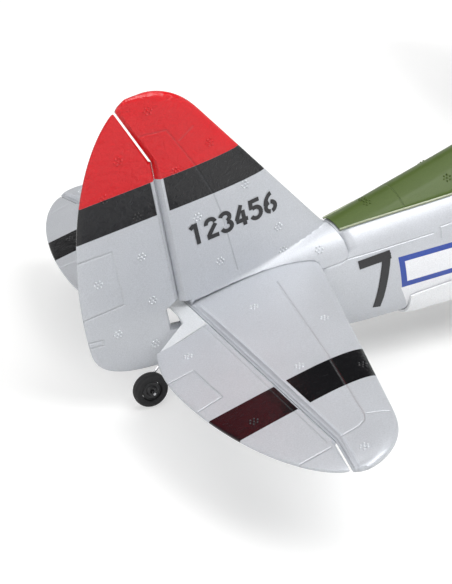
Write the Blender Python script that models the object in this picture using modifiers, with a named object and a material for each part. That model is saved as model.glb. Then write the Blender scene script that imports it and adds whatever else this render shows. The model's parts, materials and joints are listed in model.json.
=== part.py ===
"""A small radio-control warbird in moulded foam, standing on its three wheels.

Sizes are in millimetres and turned into metres by MM. Stations run forward along the fuselage from the
elevator hinge, y runs to the left wing and z up from the tailplane. The airframe empty pitches the whole
aeroplane to its ground angle.
"""
import math

import bmesh
import bpy
from mathutils import Matrix, Vector

MM = 0.001
GAP = 0.3
SEAM = 0.15
WALL = 4.5
ROUND = 2.2

# Fuselage sections: station, keel, half width, height of the widest line, top
FUSELAGE = (
    (2.0, -18.0, 3.4, -8.0, 3.4),
    (20.0, -23.4, 6.3, -8.6, 4.8),
    (55.0, -32.5, 11.6, -10.2, 7.4),
    (100.0, -38.8, 17.5, -13.0, 9.6),
    (150.0, -47.6, 23.0, -16.5, 11.0),
    (200.0, -55.8, 27.5, -19.0, 12.0),
    (250.0, -62.0, 30.5, -21.0, 12.8),
    (300.0, -65.5, 32.0, -22.0, 13.4),
    (350.0, -66.0, 32.0, -22.0, 13.4),
    (396.0, -63.0, 31.5, -21.5, 12.6),
)
NOSE_STATION = 392.0
CAVITY_TAIL = 60.0

# Tailplane
TAIL_SEMISPAN = 110.0
TAIL_ROOT_LE = 48.1
TAIL_SWEEP = 0.301
TAIL_SEAT_LE = 45.0
TAIL_TIP_START = 88.0
TAIL_THICK_ROOT = 6.2
TAIL_THICK_TIP = 3.6
TAIL_KINK = 94.8
TAIL_KINK_SLOPE = 0.215
TAIL_CORNER = 2.2
ELEVATOR_CHORD = 24.9
ELEVATOR_PEAK = 42.0
ELEVATOR_ROOT = 17.0
ELEVATOR_TIP = 107.2
LIP = 0.4
FIXED_BEVEL = 1.5
MOVING_BEVEL = 0.8
TRAILING_HALF = 0.45
TIP_SLOT = 0.6

# Fin and rudder
FIN_TOP = 76.4
FIN_ROOT_LE = 59.3
FIN_SWEEP = 0.628
FIN_FRONT = 56.0
FIN_BASE = -2.2
FOOT_TOP = 9.4
FOOT_CORNER = 3.2
FOOT_RISE = 0.9
FIN_THICK_ROOT = 6.4
FIN_THICK_TIP = 4.0
FIN_KINK = 53.9
FIN_KINK_SLOPE = 0.377
HINGE_FOOT = -2.8
HINGE_RAKE = 0.04
RUDDER_CHORD = 36.1
RUDDER_BOTTOM = -17.0
RUDDER_SLOT = 1.3
NOTCH_NOSE = -8.6

# Wing
WING_SEMISPAN = 282.5
WING_CHORD = 127.0
WING_AXIS = 305.0
WING_HEIGHT = -40.0
WING_DIHEDRAL = math.tan(math.radians(5.0))
WING_THICK_ROOT = 0.115
WING_THICK_TIP = 0.09
WING_CAMBER = 0.015
AILERON_TIP_GAP = 28.25
AILERON_LENGTH = 107.35
AILERON_OUT = WING_SEMISPAN - AILERON_TIP_GAP
AILERON_IN = AILERON_OUT - AILERON_LENGTH
AILERON_HINGE = 0.76
SPAR_STATION = WING_AXIS + 10.0
SPAR_RADIUS = 2.0
SPAR_REACH = 110.0

# Landing gear
AXLE_STATION = 350.0
AXLE_HEIGHT = -91.6
MAIN_RADIUS = 19.5
MAIN_WIDTH = 11.0
MAIN_TRACK = 107.5
LEG_RADIUS = 1.1
LEG_TOP_STATION = 337.0
TAIL_WHEEL_STATION = -19.8
TAIL_WHEEL_HEIGHT = -24.3
TAIL_RADIUS = 6.2
TAIL_WIDTH = 4.4
STRUT_RADIUS = 0.5

# Power train
THRUST = -20.0
PROP_STATION = 458.0
PROP_RADIUS = 80.0
SHAFT_RADIUS = 1.5
COWL_REAR = NOSE_STATION + 0.6
COWL_FRONT = 451.0
COWL_HALF = 32.2
COWL_UPPER = 31.8
COWL_LOWER = 41.6

# Control linkage: lever arms, rods, throws in degrees and the play of a rod in its hole
ARM = 8.0
ROD_RADIUS = 0.45
ROD_BEND = 1.3
ROD_PLAY = 0.15
TUNNEL_RADIUS = 1.3
ELEVATOR_THROW = 20.0
RUDDER_THROW = 25.0
AILERON_THROW = 20.0
PLATE = 1.0
BOSS = 1.6
SERVO_STATION = 227.0
SERVO_LENGTH = 20.0
SERVO_AHEAD = 13.0
SERVO_DEPTH = 8.0
SERVO_HEIGHT = 12.0
SERVO_LUG = 3.0
AILERON_ARM = 7.0
AILERON_ROD = 24.0
AILERON_SERVO_LENGTH = 16.0

# Equipment on the tray
TRAY_TOP = -25.4
TRAY_THICK = 2.0
TRAY_REAR = 206.0
TRAY_FRONT = 386.0
BATTERY_STATION = 291.0
BATTERY_LENGTH = 46.0
BATTERY_WIDTH = 17.0
BATTERY_HEIGHT = 11.0
BATTERY_ROUND = 1.6
RECEIVER_STATION = 352.0
RECEIVER_LENGTH = 32.0
RECEIVER_WIDTH = 26.0
BOARD_THICK = 1.6

# Canopy hatch
HATCH_REAR = 238.3
HATCH_FRONT = 336.0
HATCH_SILL = 2.2
HATCH_LIP = 14.0
HATCH_MOUTH = 15.0
GLAZING = 1.0
MAGNET_RADIUS = 3.0
MAGNET_THICK = 2.0
DECK_STEP = 0.6
DECK_GAP = 0.45
RIDGE_ROUND = 0.2

for old in list(bpy.data.objects):
    bpy.data.objects.remove(old, do_unlink=True)

parts = bpy.data.collections.new("rc_warbird_plane")
cutters = bpy.data.collections.new("cutters")
cutters.hide_render = True
bpy.context.scene.collection.children.link(parts)
bpy.context.scene.collection.children.link(cutters)


def skin(name, colour, roughness, metallic=0.0):
    made = bpy.data.materials.new(name)
    made.use_nodes = True
    shader = made.node_tree.nodes["Principled BSDF"]
    shader.inputs["Base Color"].default_value = (*colour, 1.0)
    shader.inputs["Roughness"].default_value = roughness
    shader.inputs["Metallic"].default_value = metallic
    return made


SILVER = skin("silver_paint", (0.52, 0.55, 0.59), 0.38, 0.5)
RED = skin("red_paint", (0.68, 0.025, 0.03), 0.4)
GREEN = skin("olive_paint", (0.107, 0.171, 0.053), 0.55)
BLACK = skin("black_plastic", (0.02, 0.02, 0.022), 0.45)
RUBBER = skin("foam_rubber", (0.015, 0.015, 0.015), 0.8)
STEEL = skin("steel_wire", (0.56, 0.56, 0.58), 0.28, 1.0)
ALUMINIUM = skin("aluminium", (0.75, 0.76, 0.78), 0.3, 1.0)
CARBON = skin("carbon_tube", (0.03, 0.03, 0.033), 0.35)
WHITE = skin("white_nylon", (0.78, 0.78, 0.76), 0.45)
CLEAR = skin("clear_canopy", (0.6, 0.68, 0.74), 0.08)
BLUE = skin("battery_wrap", (0.03, 0.09, 0.35), 0.4)
BOARD = skin("circuit_board", (0.02, 0.14, 0.05), 0.4)
PLY = skin("plywood", (0.55, 0.38, 0.2), 0.65)
COPPER = skin("copper_windings", (0.55, 0.22, 0.09), 0.35, 0.9)


def ground_angle():
    run = AXLE_STATION - TAIL_WHEEL_STATION
    drop = AXLE_HEIGHT - TAIL_WHEEL_HEIGHT
    return math.asin((MAIN_RADIUS - TAIL_RADIUS) / math.hypot(run, drop)) - math.atan2(drop, run)


def empty(name, place, parent):
    made = bpy.data.objects.new(name, None)
    parts.objects.link(made)
    made.parent = parent
    made.location = Vector(place) * MM
    return made


airframe = bpy.data.objects.new("airframe", None)
parts.objects.link(airframe)
airframe.rotation_euler = (0.0, -ground_angle(), 0.0)


def place(made, look, joint):
    """Links a piece under the airframe or under the empty on its joint axis; without a look it is a cutter."""
    if look is None:
        cutters.objects.link(made)
        made.hide_render = True
        made.display_type = "WIRE"
    else:
        parts.objects.link(made)
        made.data.materials.append(look)
    made.parent = joint or airframe
    step = joint
    while step and step is not airframe:
        made.location -= step.location
        step = step.parent
    return made


def add(name, bm, look=None, joint=None):
    bmesh.ops.remove_doubles(bm, verts=bm.verts, dist=1e-4)
    bmesh.ops.recalc_face_normals(bm, faces=bm.faces)
    bm.transform(Matrix.Scale(MM, 4))
    mesh = bpy.data.meshes.new(name)
    bm.to_mesh(mesh)
    bm.free()
    mesh.shade_smooth()
    mesh.set_sharp_from_angle(angle=math.radians(35.0))
    return place(bpy.data.objects.new(name, mesh), look, joint)


def boolean(made, tool, operation):
    step = made.modifiers.new(tool.name, "BOOLEAN")
    step.object = tool
    step.operation = operation
    step.solver = "EXACT"


def cut(made, *tools):
    for tool in tools:
        boolean(made, tool, "DIFFERENCE")


def join(made, *tools):
    for tool in tools:
        boolean(made, tool, "UNION")


def loft(rings, closed=False):
    """Skins rings of equal length, capping the end rings unless the loft closes on itself."""
    bm = bmesh.new()
    rows = [[bm.verts.new(point) for point in ring] for ring in rings]
    count = len(rows[0])
    for i in range(len(rows) if closed else len(rows) - 1):
        here, there = rows[i], rows[(i + 1) % len(rows)]
        for j in range(count):
            k = (j + 1) % count
            bm.faces.new((here[j], here[k], there[k], there[j]))
    if not closed:
        bm.faces.new(rows[0])
        bm.faces.new(rows[-1])
    return bm


def turned(name, profile, centre, axis, look=None, joint=None, steps=24):
    """Turns a profile of (along the axis, radius) pairs round an axis; a profile clear of the axis is a ring."""
    edges = [(i, i + 1) for i in range(len(profile) - 1)]
    if min(profile[0][1], profile[-1][1]) > 0.0:
        edges.append((len(profile) - 1, 0))
    mesh = bpy.data.meshes.new(name)
    mesh.from_pydata([(r * MM, 0.0, a * MM) for a, r in reversed(profile)], edges, [])
    made = bpy.data.objects.new(name, mesh)
    made.location = Vector(centre) * MM
    made.rotation_euler = Vector(axis).to_track_quat("Z", "Y").to_euler()
    spin = made.modifiers.new("turned", "SCREW")
    spin.steps = spin.render_steps = steps
    spin.use_merge_vertices = True
    spin.merge_threshold = 0.00001
    return place(made, look, joint)


def rod(start, end, radius, steps=12):
    run = Vector(end) - Vector(start)
    middle = (Vector(start) + Vector(end)) / 2.0
    turn = run.to_track_quat("Z", "Y").to_matrix().to_4x4()
    bm = bmesh.new()
    bmesh.ops.create_cone(
        bm, cap_ends=True, segments=steps, radius1=radius, radius2=radius, depth=run.length,
        matrix=Matrix.Translation(middle) @ turn,
    )
    return bm


def box(low, high, turn=None):
    bm = bmesh.new()
    size = [b - a for a, b in zip(low, high)]
    middle = [(a + b) / 2 for a, b in zip(low, high)]
    bmesh.ops.create_cube(bm, size=1.0, matrix=Matrix.Translation(middle) @ Matrix.Diagonal((*size, 1.0)))
    if turn:
        bm.transform(turn)
    return bm


def arc(centre, radius, start, end, steps=6):
    """Points of a round stretch of a flat outline, between two angles in degrees."""
    turns = [math.radians(start + (end - start) * i / steps) for i in range(steps + 1)]
    return [(centre[0] + radius * math.cos(t), centre[1] + radius * math.sin(t)) for t in turns]


UPRIGHT = Matrix.Rotation(math.radians(90.0), 4, "X")


def plate(name, outline, thick, spot, look=None, joint=None):
    """A flat plate: its outline lies in the first two axes of spot, its thickness runs along the third."""
    curve = bpy.data.curves.new(name, "CURVE")
    curve.dimensions = "2D"
    curve.fill_mode = "BOTH"
    curve.extrude = thick / 2.0
    spline = curve.splines.new("POLY")
    spline.points.add(len(outline) - 1)
    spline.use_cyclic_u = True
    for point, (u, v) in zip(spline.points, outline):
        point.co = (u, v, 0.0, 1.0)
    drawn = bpy.data.objects.new(name, curve)
    cutters.objects.link(drawn)
    shaped = drawn.evaluated_get(bpy.context.evaluated_depsgraph_get())
    mesh = bpy.data.meshes.new_from_object(shaped)
    bpy.data.objects.remove(drawn, do_unlink=True)
    bm = bmesh.new()
    bm.from_mesh(mesh)
    bpy.data.meshes.remove(mesh)
    bm.transform(spot)
    return add(name, bm, look, joint)


def wire(name, points, radius, look, joint=None):
    curve = bpy.data.curves.new(name, "CURVE")
    curve.dimensions = "3D"
    curve.bevel_depth = radius * MM
    curve.bevel_resolution = 2
    curve.use_fill_caps = True
    spline = curve.splines.new("POLY")
    spline.points.add(len(points) - 1)
    for point, spot in zip(spline.points, points):
        point.co = (*(Vector(spot) * MM), 1.0)
    return place(bpy.data.objects.new(name, curve), look, joint)


def smooth_row(table, x):
    """Reads a station table with a smooth curve through its rows."""
    last = len(table) - 1
    i = max(0, min(last - 1, sum(row[0] <= x for row in table) - 1))
    span = table[i + 1][0] - table[i][0]
    t = max(0.0, min(1.0, (x - table[i][0]) / span))
    row = []
    for k in range(1, len(table[0])):

        def slope(n):
            a, b = table[max(n - 1, 0)], table[min(n + 1, last)]
            return (b[k] - a[k]) / (b[0] - a[0])

        h = 1.0 - t
        row.append(
            h * h * (1.0 + 2.0 * t) * table[i][k]
            + t * t * (3.0 - 2.0 * t) * table[i + 1][k]
            + span * h * t * (h * slope(i) - t * slope(i + 1))
        )
    return row


def superround(ratio, power=ROUND):
    return max(0.0, 1.0 - min(1.0, abs(ratio)) ** power) ** (1.0 / power)


def side_at(x, z):
    keel, half, mid, top = smooth_row(FUSELAGE, x)
    return half * superround((z - mid) / (top - mid if z > mid else mid - keel))


def deck_at(x, y):
    _, half, mid, top = smooth_row(FUSELAGE, x)
    return mid + (top - mid) * superround(y / half)


def belly_at(x, y):
    keel, half, mid, _ = smooth_row(FUSELAGE, x)
    return mid - (mid - keel) * superround(y / half)


def section(x, inset=0.0, steps=10):
    """Half a fuselage section, keel to top, as (y, z) pairs."""
    keel, half, mid, top = smooth_row(FUSELAGE, x)
    pairs = []
    for i in range(steps + 1):
        turn = math.pi * (i / steps - 0.5)
        across = (half - inset) * abs(math.cos(turn)) ** (2.0 / ROUND)
        reach = (top - mid if turn > 0.0 else mid - keel) - inset
        pairs.append((across, mid + math.copysign(reach * abs(math.sin(turn)) ** (2.0 / ROUND), turn)))
    return pairs


def rudder_hinge(z):
    return HINGE_FOOT + HINGE_RAKE * z - max(0.0, z - FIN_KINK) * (FIN_KINK_SLOPE + HINGE_RAKE)


def full_ring(x, inset=0.0):
    half = section(x, inset)
    return [(x, y, z) for y, z in half] + [(x, -y, z) for y, z in reversed(half[1:-1])]


# Control-surface thickness, the same law for the tailplane and the fin
def blade_half(u, thick):
    nose = min(1.0, u / 0.3)
    aft = max(0.0, (u - 0.3) / 0.7)
    front = thick / 2.0 * math.sqrt(max(0.0, 1.0 - (1.0 - nose) ** 2))
    return front if u < 0.3 else TRAILING_HALF + (thick / 2.0 - TRAILING_HALF) * (1.0 - aft ** 1.35)


# Tailplane: stabilizer, two elevator halves and the strip that joins them behind the fin
def tail_le(s):
    line = TAIL_ROOT_LE - TAIL_SWEEP * s
    tip = max(0.0, (s - TAIL_TIP_START) / (TAIL_SEMISPAN - TAIL_TIP_START))
    return min(TAIL_SEAT_LE, line) * math.sqrt(max(0.0, 1.0 - tip ** 4))


def tail_te(s):
    if s > ELEVATOR_PEAK:
        return -ELEVATOR_CHORD * superround((s - ELEVATOR_PEAK) / (0.604 * TAIL_SEMISPAN), 1.85)
    return -ELEVATOR_CHORD * superround((ELEVATOR_PEAK - s) / 40.3, 2.0)


def tail_thick(s):
    edge = max(0.0, (s - 0.94 * TAIL_SEMISPAN) / (0.062 * TAIL_SEMISPAN))
    flat = TAIL_THICK_ROOT + (TAIL_THICK_TIP - TAIL_THICK_ROOT) * s / TAIL_SEMISPAN
    return flat * (1.0 - 0.5 * min(1.0, edge) ** 2)


def tail_hinge(s):
    return -max(0.0, s - TAIL_KINK) * TAIL_KINK_SLOPE


def tail_half(x, s):
    front, back = tail_le(s), min(tail_te(s), tail_hinge(s) - 1.0)
    return blade_half((front - x) / (front - back), tail_thick(s))


STAB_STEPS = (0.62, 0.3, 0.12, 0.03)


def stab_ring(y, grow=0.0):
    s = abs(y)
    hinge = tail_hinge(s) + GAP / 2.0 + 1.25 * max(0.0, s - TAIL_SEMISPAN + TAIL_CORNER) ** 2
    front = tail_le(s) + grow
    bevel = hinge + FIXED_BEVEL * (tail_half(hinge + 3.0, s) - LIP)
    upper = [(hinge - grow, LIP + grow), (bevel, tail_half(bevel, s) + grow)]
    for u in STAB_STEPS:
        x = front - u * (front - bevel)
        upper.append((x, tail_half(x - grow, s) + grow))
    ring = [(x, y, h) for x, h in upper] + [(front, y, 0.0)]
    return ring + [(x, y, -h) for x, h in reversed(upper)]


half_span = (12.0, 40.0, 70.0, TAIL_TIP_START, TAIL_KINK, 100.0, 105.0, 107.8, 109.0, 109.6)
tail_spans = [-s for s in reversed(half_span)] + list(half_span)
stabilizer = add("stabilizer", loft([stab_ring(y) for y in tail_spans]), SILVER)
stab_seat = add("stab_seat", loft([stab_ring(y, GAP) for y in (-30.0, -12.0, 12.0, 30.0)]))

elevator_axis = empty("elevator_axis", (0.0, 0.0, 0.0), airframe)


def elevator_ring(y, back, slant=0.0):
    s = abs(y)
    kinked = s > TAIL_KINK + 0.1
    nose = tail_hinge(s) - (TIP_SLOT if kinked else GAP / 2.0)
    shoulder = max(nose - MOVING_BEVEL * (tail_half(nose, s) - LIP), nose + 0.6 * (back - nose))
    stations = [(nose, LIP), (shoulder, tail_half(shoulder, s))]
    for u in (0.55, 1.0):
        x = shoulder + u * (back - shoulder)
        stations.append((x, tail_half(x, s)))
    side = math.copysign(1.0, y)
    ring = [(x, y - side * slant * x, h) for x, h in stations]
    return ring + [(x, y - side * slant * x, -h) for x, h in reversed(stations)]


def elevator(name, side):
    spans = (30.0, 45.0, 60.0, 75.0, TAIL_TIP_START, TAIL_KINK, 98.0, 102.5, 105.5, ELEVATOR_TIP)
    rings = [elevator_ring(side * ELEVATOR_ROOT, tail_te(ELEVATOR_ROOT + 3.0), 0.16)]
    rings += [elevator_ring(side * s, tail_te(s)) for s in spans]
    return add(name, loft(rings), SILVER, elevator_axis)


elevator_left = elevator("elevator_left", 1.0)
elevator_right = elevator("elevator_right", -1.0)
bow = ((ELEVATOR_ROOT - GAP - 0.1, tail_te(ELEVATOR_ROOT + 3.0)), (9.8, -6.6), (2.8, -5.3))
joiner_rings = [elevator_ring(s, back, 0.16 if s > 12.0 else 0.0) for s, back in bow]
joiner_rings += [elevator_ring(-s, back, 0.16 if s > 12.0 else 0.0) for s, back in reversed(bow)]
elevator_joiner = add("elevator_joiner", loft(joiner_rings), SILVER, elevator_axis)

# Elevator horn: a nylon plate glued under the left elevator, its hole straight below the hinge
def rod_bore(lever, throw):
    """A hole wide enough for the rod, which keeps its height while the lever swings."""
    return ROD_RADIUS + lever * (1.0 - math.cos(math.radians(throw))) + ROD_PLAY


horn_y = 21.0
horn_top = -tail_half(-6.0, horn_y) - GAP
horn_head = rod_bore(ARM, ELEVATOR_THROW) + 1.3
horn_outline = [
    (-2.0, horn_top - 2.4),
    (-2.5, horn_top - 0.3),
    (-10.0, -tail_half(-10.0, horn_y) - GAP),
    (-9.0, horn_top - 2.0),
] + arc((0.0, -ARM), horn_head, 225.0, 430.0)
elevator_horn = plate(
    "elevator_horn", horn_outline, PLATE, Matrix.Translation((0.0, horn_y, 0.0)) @ UPRIGHT, WHITE, elevator_axis
)
elevator_hole = Vector((0.0, horn_y, -ARM))
across = Vector((0.0, 2.0, 0.0))
horn_drill = rod(elevator_hole - across, elevator_hole + across, rod_bore(ARM, ELEVATOR_THROW))
cut(elevator_horn, add("elevator_horn_hole", horn_drill))

# Fin: a blade whose flared foot takes the shape of the fuselage top
FIN_STEPS = (0.62, 0.3, 0.12, 0.04)


def fin_le(z):
    line = FIN_ROOT_LE - FIN_SWEEP * z
    tip = max(0.0, (z - 62.0) / (FIN_TOP - 62.0))
    return line * math.sqrt(max(0.0, 1.0 - 0.97 * tip ** 4))


def fin_thick(z):
    edge = max(0.0, (z - FIN_TOP + 6.0) / 6.0)
    flat = FIN_THICK_ROOT + (FIN_THICK_TIP - FIN_THICK_ROOT) * max(0.0, z) / FIN_TOP
    return flat * (1.0 - 0.5 * min(1.0, edge) ** 2)


def rudder_te(z):
    if z >= 0.0:
        return -RUDDER_CHORD * max(0.0, 1.0 - (z / 76.6) ** 1.9) ** 0.55
    return -RUDDER_CHORD * max(0.0, 1.0 - min(1.0, z / RUDDER_BOTTOM) ** 3) ** 0.4545


def fin_half(x, z):
    front, back = fin_le(z), min(rudder_te(z), rudder_hinge(z) - 1.0)
    blade = blade_half((front - x) / (front - back), fin_thick(z))
    rise = FOOT_RISE * max(0.0, min(1.0, (x - 20.0) / 30.0))
    return max(blade, side_at(x, z - rise)) if z < FOOT_TOP and x > 3.0 else blade


def fin_front(z):
    """The leading edge, with the foot's own front and its rounded lower corner below it."""
    if z >= FOOT_TOP:
        return fin_le(z)
    drop = max(0.0, FIN_BASE + FOOT_CORNER - z)
    corner = FOOT_CORNER - math.sqrt(max(0.0, FOOT_CORNER ** 2 - drop ** 2))
    return FIN_FRONT - corner - max(0.0, z - 4.0) * 0.25


def fin_ring(z):
    back = rudder_hinge(z) + GAP / 2.0 + max(0.0, z - 73.4) ** 1.5
    front = fin_front(z)
    bevel = back + FIXED_BEVEL * (blade_half(0.6, fin_thick(z)) - LIP)
    stations = [(back, LIP), (bevel, fin_half(bevel, z))]
    for u in FIN_STEPS:
        x = front - u * (front - bevel)
        stations.append((x, fin_half(x, z)))
    stations.append((front, fin_half(front, z) if z < FOOT_TOP else 0.35))
    return [(x, h, z) for x, h in stations] + [(x, -h, z) for x, h in reversed(stations)]


foot_heights = (FIN_BASE, FIN_BASE + 0.4, FIN_BASE + 1.5, FIN_BASE + FOOT_CORNER, 4.5, 7.0)
fin_heights = (*foot_heights, FOOT_TOP, 14.0, 25.0, 40.0, FIN_KINK, 60.0, 66.0, 70.0, 73.0, 75.0, 76.1)
fin = add("fin", loft([fin_ring(z) for z in fin_heights]), SILVER)
tail_gap = add("tail_gap", box((-20.0, -12.0, -4.0), (0.6, 12.0, 3.2)))
under_stab = add("under_stab", box((-20.0, -12.0, -4.0), (TAIL_SEAT_LE - 9.0, 12.0, 0.0)))
cut(fin, stab_seat, tail_gap, under_stab)

# Rudder, hinged on the fin and the sternpost, notched where the elevator strip passes through
rudder_axis = empty("rudder_axis", (HINGE_FOOT, 0.0, 0.0), airframe)


def rudder_half(x, z):
    """Half thickness, tapering straight from the hinge line of the lower rudder to the trailing edge."""
    widest = blade_half(0.66, fin_thick(z) * 0.92)
    hinge = HINGE_FOOT + HINGE_RAKE * z
    share = max(0.0, min(1.0, (hinge - x) / (hinge - min(rudder_te(z), hinge - 4.0))))
    return widest + share * (TRAILING_HALF - widest)


def rudder_ring(z, nose=None):
    if nose is None:
        nose = rudder_hinge(z) - (RUDDER_SLOT if z > FIN_KINK + 0.1 else GAP / 2.0)
    back = min(rudder_te(z), nose - 1.6)
    shoulder = max(nose - MOVING_BEVEL * (rudder_half(nose, z) - LIP), nose + 0.8 * (back - nose))
    stations = [(nose, LIP)]
    for u in (0.0, 0.5, 1.0):
        x = shoulder + u * (back - shoulder)
        stations.append((x, rudder_half(x, z)))
    return [(x, h, z) for x, h in stations] + [(x, -h, z) for x, h in reversed(stations)]


rudder_rings = [rudder_ring(z) for z in (-16.7, -15.4, -12.5, -8.0)]
rudder_rings += [rudder_ring(z, NOTCH_NOSE) for z in (-5.0, 0.0, 2.8)]
rudder_rings += [rudder_ring(z) for z in (4.8, 20.0, 36.0, FIN_KINK, 60.0, 66.0, 70.4, 72.8)]
rudder = add("rudder", loft(rudder_rings), SILVER, rudder_axis)

# Rudder horn: a nylon arm on the left side of the rudder below the tailplane
horn_z = -11.0
pivot_x = rudder_hinge(horn_z)
horn_head = rod_bore(ARM, RUDDER_THROW) + 1.3
rudder_horn_outline = [
    (-3.6, 4.4),
    (-3.4, 3.1),
    (-10.5, 2.9),
    (-10.0, 4.2),
] + arc((0.0, ARM), horn_head, 125.0, -110.0)
rudder_horn = plate(
    "rudder_horn", rudder_horn_outline, PLATE, Matrix.Translation((pivot_x, 0.0, horn_z)), WHITE, rudder_axis
)
rudder_hole = Vector((pivot_x, ARM, horn_z))
upward = Vector((0.0, 0.0, 2.0))
horn_drill = rod(rudder_hole - upward, rudder_hole + upward, rod_bore(ARM, RUDDER_THROW))
cut(rudder_horn, add("rudder_horn_hole", horn_drill))

# Tail wheel on a bent wire that turns with the rudder
strut_x = pivot_x - 9.0
side_y = TAIL_WIDTH / 2.0 + 1.6
tail_points = [
    (strut_x, 0.0, -9.0),
    (strut_x, 0.0, -17.4),
    (strut_x - 1.4, side_y, -19.6),
    (TAIL_WHEEL_STATION, side_y, TAIL_WHEEL_HEIGHT),
    (TAIL_WHEEL_STATION, -side_y + 0.2, TAIL_WHEEL_HEIGHT),
]
tailwheel_strut = wire("tailwheel_strut", tail_points, STRUT_RADIUS, STEEL, rudder_axis)
cut(rudder, add("strut_hole", rod((strut_x, 0.0, -8.6), (strut_x, 0.0, -24.0), STRUT_RADIUS + GAP + 0.05)))
tail_wheel_spot = Vector((TAIL_WHEEL_STATION, 0.0, TAIL_WHEEL_HEIGHT))
tail_wheel_axis = empty("tail_wheel_axis", tail_wheel_spot - rudder_axis.location / MM, rudder_axis)


def wheel(tyre_name, hub_name, centre, radius, width, bore, joint, look, steps=24):
    rim = radius * 0.52
    half = width / 2.0
    tyre = (
        (-half * 0.62, rim + GAP),
        (-half, rim + (radius - rim) * 0.3),
        (-half * 0.92, rim + (radius - rim) * 0.66),
        (-half * 0.6, radius - (radius - rim) * 0.08),
        (0.0, radius),
        (half * 0.6, radius - (radius - rim) * 0.08),
        (half * 0.92, rim + (radius - rim) * 0.66),
        (half, rim + (radius - rim) * 0.3),
        (half * 0.62, rim + GAP),
    )
    hub = (
        (-half * 0.7, bore),
        (-half * 0.7, rim * 0.45),
        (-half * 0.45, rim * 0.6),
        (-half * 0.6, rim),
        (half * 0.6, rim),
        (half * 0.45, rim * 0.6),
        (half * 0.7, rim * 0.45),
        (half * 0.7, bore),
    )
    turned(tyre_name, tyre, centre, (0.0, 1.0, 0.0), RUBBER, joint, steps)
    turned(hub_name, hub, centre, (0.0, 1.0, 0.0), look, joint, steps)


wheel(
    "tail_tyre", "tail_hub", tail_wheel_spot,
    TAIL_RADIUS, TAIL_WIDTH, STRUT_RADIUS + GAP, tail_wheel_axis, BLACK, 20,
)


# Wing panels: elliptical planform, plugged through the fuselage sides over a bent carbon joiner
def wing_le(y):
    return WING_AXIS + 0.42 * WING_CHORD * math.sqrt(max(0.0, 1.0 - (abs(y) / WING_SEMISPAN) ** 2.6))


def wing_te(y):
    return WING_AXIS - 0.58 * WING_CHORD * math.sqrt(max(0.0, 1.0 - (y / WING_SEMISPAN) ** 2))


def wing_mid(y, u):
    chord = wing_le(y) - wing_te(y)
    return WING_HEIGHT + abs(y) * WING_DIHEDRAL + 4.0 * WING_CAMBER * chord * u * (1.0 - u)


def wing_half(y, u):
    ratio = abs(y) / WING_SEMISPAN
    thick = (WING_THICK_ROOT + (WING_THICK_TIP - WING_THICK_ROOT) * ratio) * (wing_le(y) - wing_te(y))
    shape = 0.2969 * math.sqrt(u) - 0.126 * u - 0.3516 * u * u + 0.2843 * u ** 3 - 0.1015 * u ** 4
    return max(5.0 * thick * shape, TRAILING_HALF)


WING_STEPS = (1.0, 0.76, 0.5, 0.28, 0.12, 0.04, 0.01)


def wing_ring(y, grow=0.0, at=None):
    front, back = wing_le(y) + grow, wing_te(y) - grow
    upper = [(front - u * (front - back), wing_mid(y, u), wing_half(y, u) + grow) for u in WING_STEPS]
    spot = y if at is None else at
    ring = [(x, spot, m + h) for x, m, h in upper] + [(front, spot, wing_mid(y, 0.0))]
    return ring + [(x, spot, m - h) for x, m, h in reversed(upper)]


def spar_at(y):
    return (SPAR_STATION, y, wing_mid(y, 0.38))


spar_points = [spar_at(-SPAR_REACH), spar_at(0.0), spar_at(SPAR_REACH)]
wing_joiner = wire("wing_joiner", spar_points, SPAR_RADIUS, CARBON)

leg_y = MAIN_TRACK + MAIN_WIDTH / 2.0 + 2.2
GUN_SPANS = (126.0, 133.0, 140.0, 147.0)
GUN_RADIUS = 1.1
GUN_CARRIER = WING_AXIS + 22.0
GUN_BAR = 3.0
AILERON_SERVO_SPAN = AILERON_IN + 26.0
AILERON_SPANS = [AILERON_IN + AILERON_LENGTH * share for share in (0.0, 0.31, 0.59, 0.82, 1.0)]
WING_SPANS = [22.0, 60.0, 110.0] + AILERON_SPANS + [WING_SEMISPAN - inboard for inboard in (16.5, 7.5, 2.5)]


def hinge_point(side, y):
    front, back = wing_le(y), wing_te(y)
    return Vector((front - AILERON_HINGE * (front - back), side * y, wing_mid(y, AILERON_HINGE)))


def hinge_frame(side):
    """Local axes at the aileron horn: forward across the hinge, along the hinge to the left, and up."""
    start, end = hinge_point(side, AILERON_IN), hinge_point(side, AILERON_OUT)
    along = (end - start).normalized() * side
    spot = start + (end - start) * ((AILERON_SERVO_SPAN - AILERON_IN) / (AILERON_OUT - AILERON_IN))
    ahead = along.cross(Vector((0.0, 0.0, 1.0))).normalized()
    above = ahead.cross(along)
    turn = Matrix((ahead, along, above)).transposed().to_4x4()
    return Matrix.Translation(spot) @ turn


def aileron_ring(side, y):
    start, end = hinge_point(side, AILERON_IN), hinge_point(side, AILERON_OUT)
    at = (y - AILERON_IN) / (AILERON_OUT - AILERON_IN)
    hinge = start + (end - start) * at
    front, back = wing_le(y), wing_te(y)
    nose = hinge.x - GAP / 2.0
    u = (front - nose) / (front - back)
    shoulder = nose - MOVING_BEVEL * (wing_half(y, u) - LIP)
    stations = [(nose, hinge.z, LIP)]
    for f in (0.0, 0.5, 1.0):
        x = shoulder + f * (back - shoulder)
        v = (front - x) / (front - back)
        stations.append((x, wing_mid(y, v), wing_half(y, v)))
    ring = [(x, side * y, m + h) for x, m, h in stations]
    return ring + [(x, side * y, m - h) for x, m, h in reversed(stations)]


def lower_skin(y, x):
    u = (wing_le(y) - x) / (wing_le(y) - wing_te(y))
    return wing_mid(y, u) - wing_half(y, u)


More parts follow.
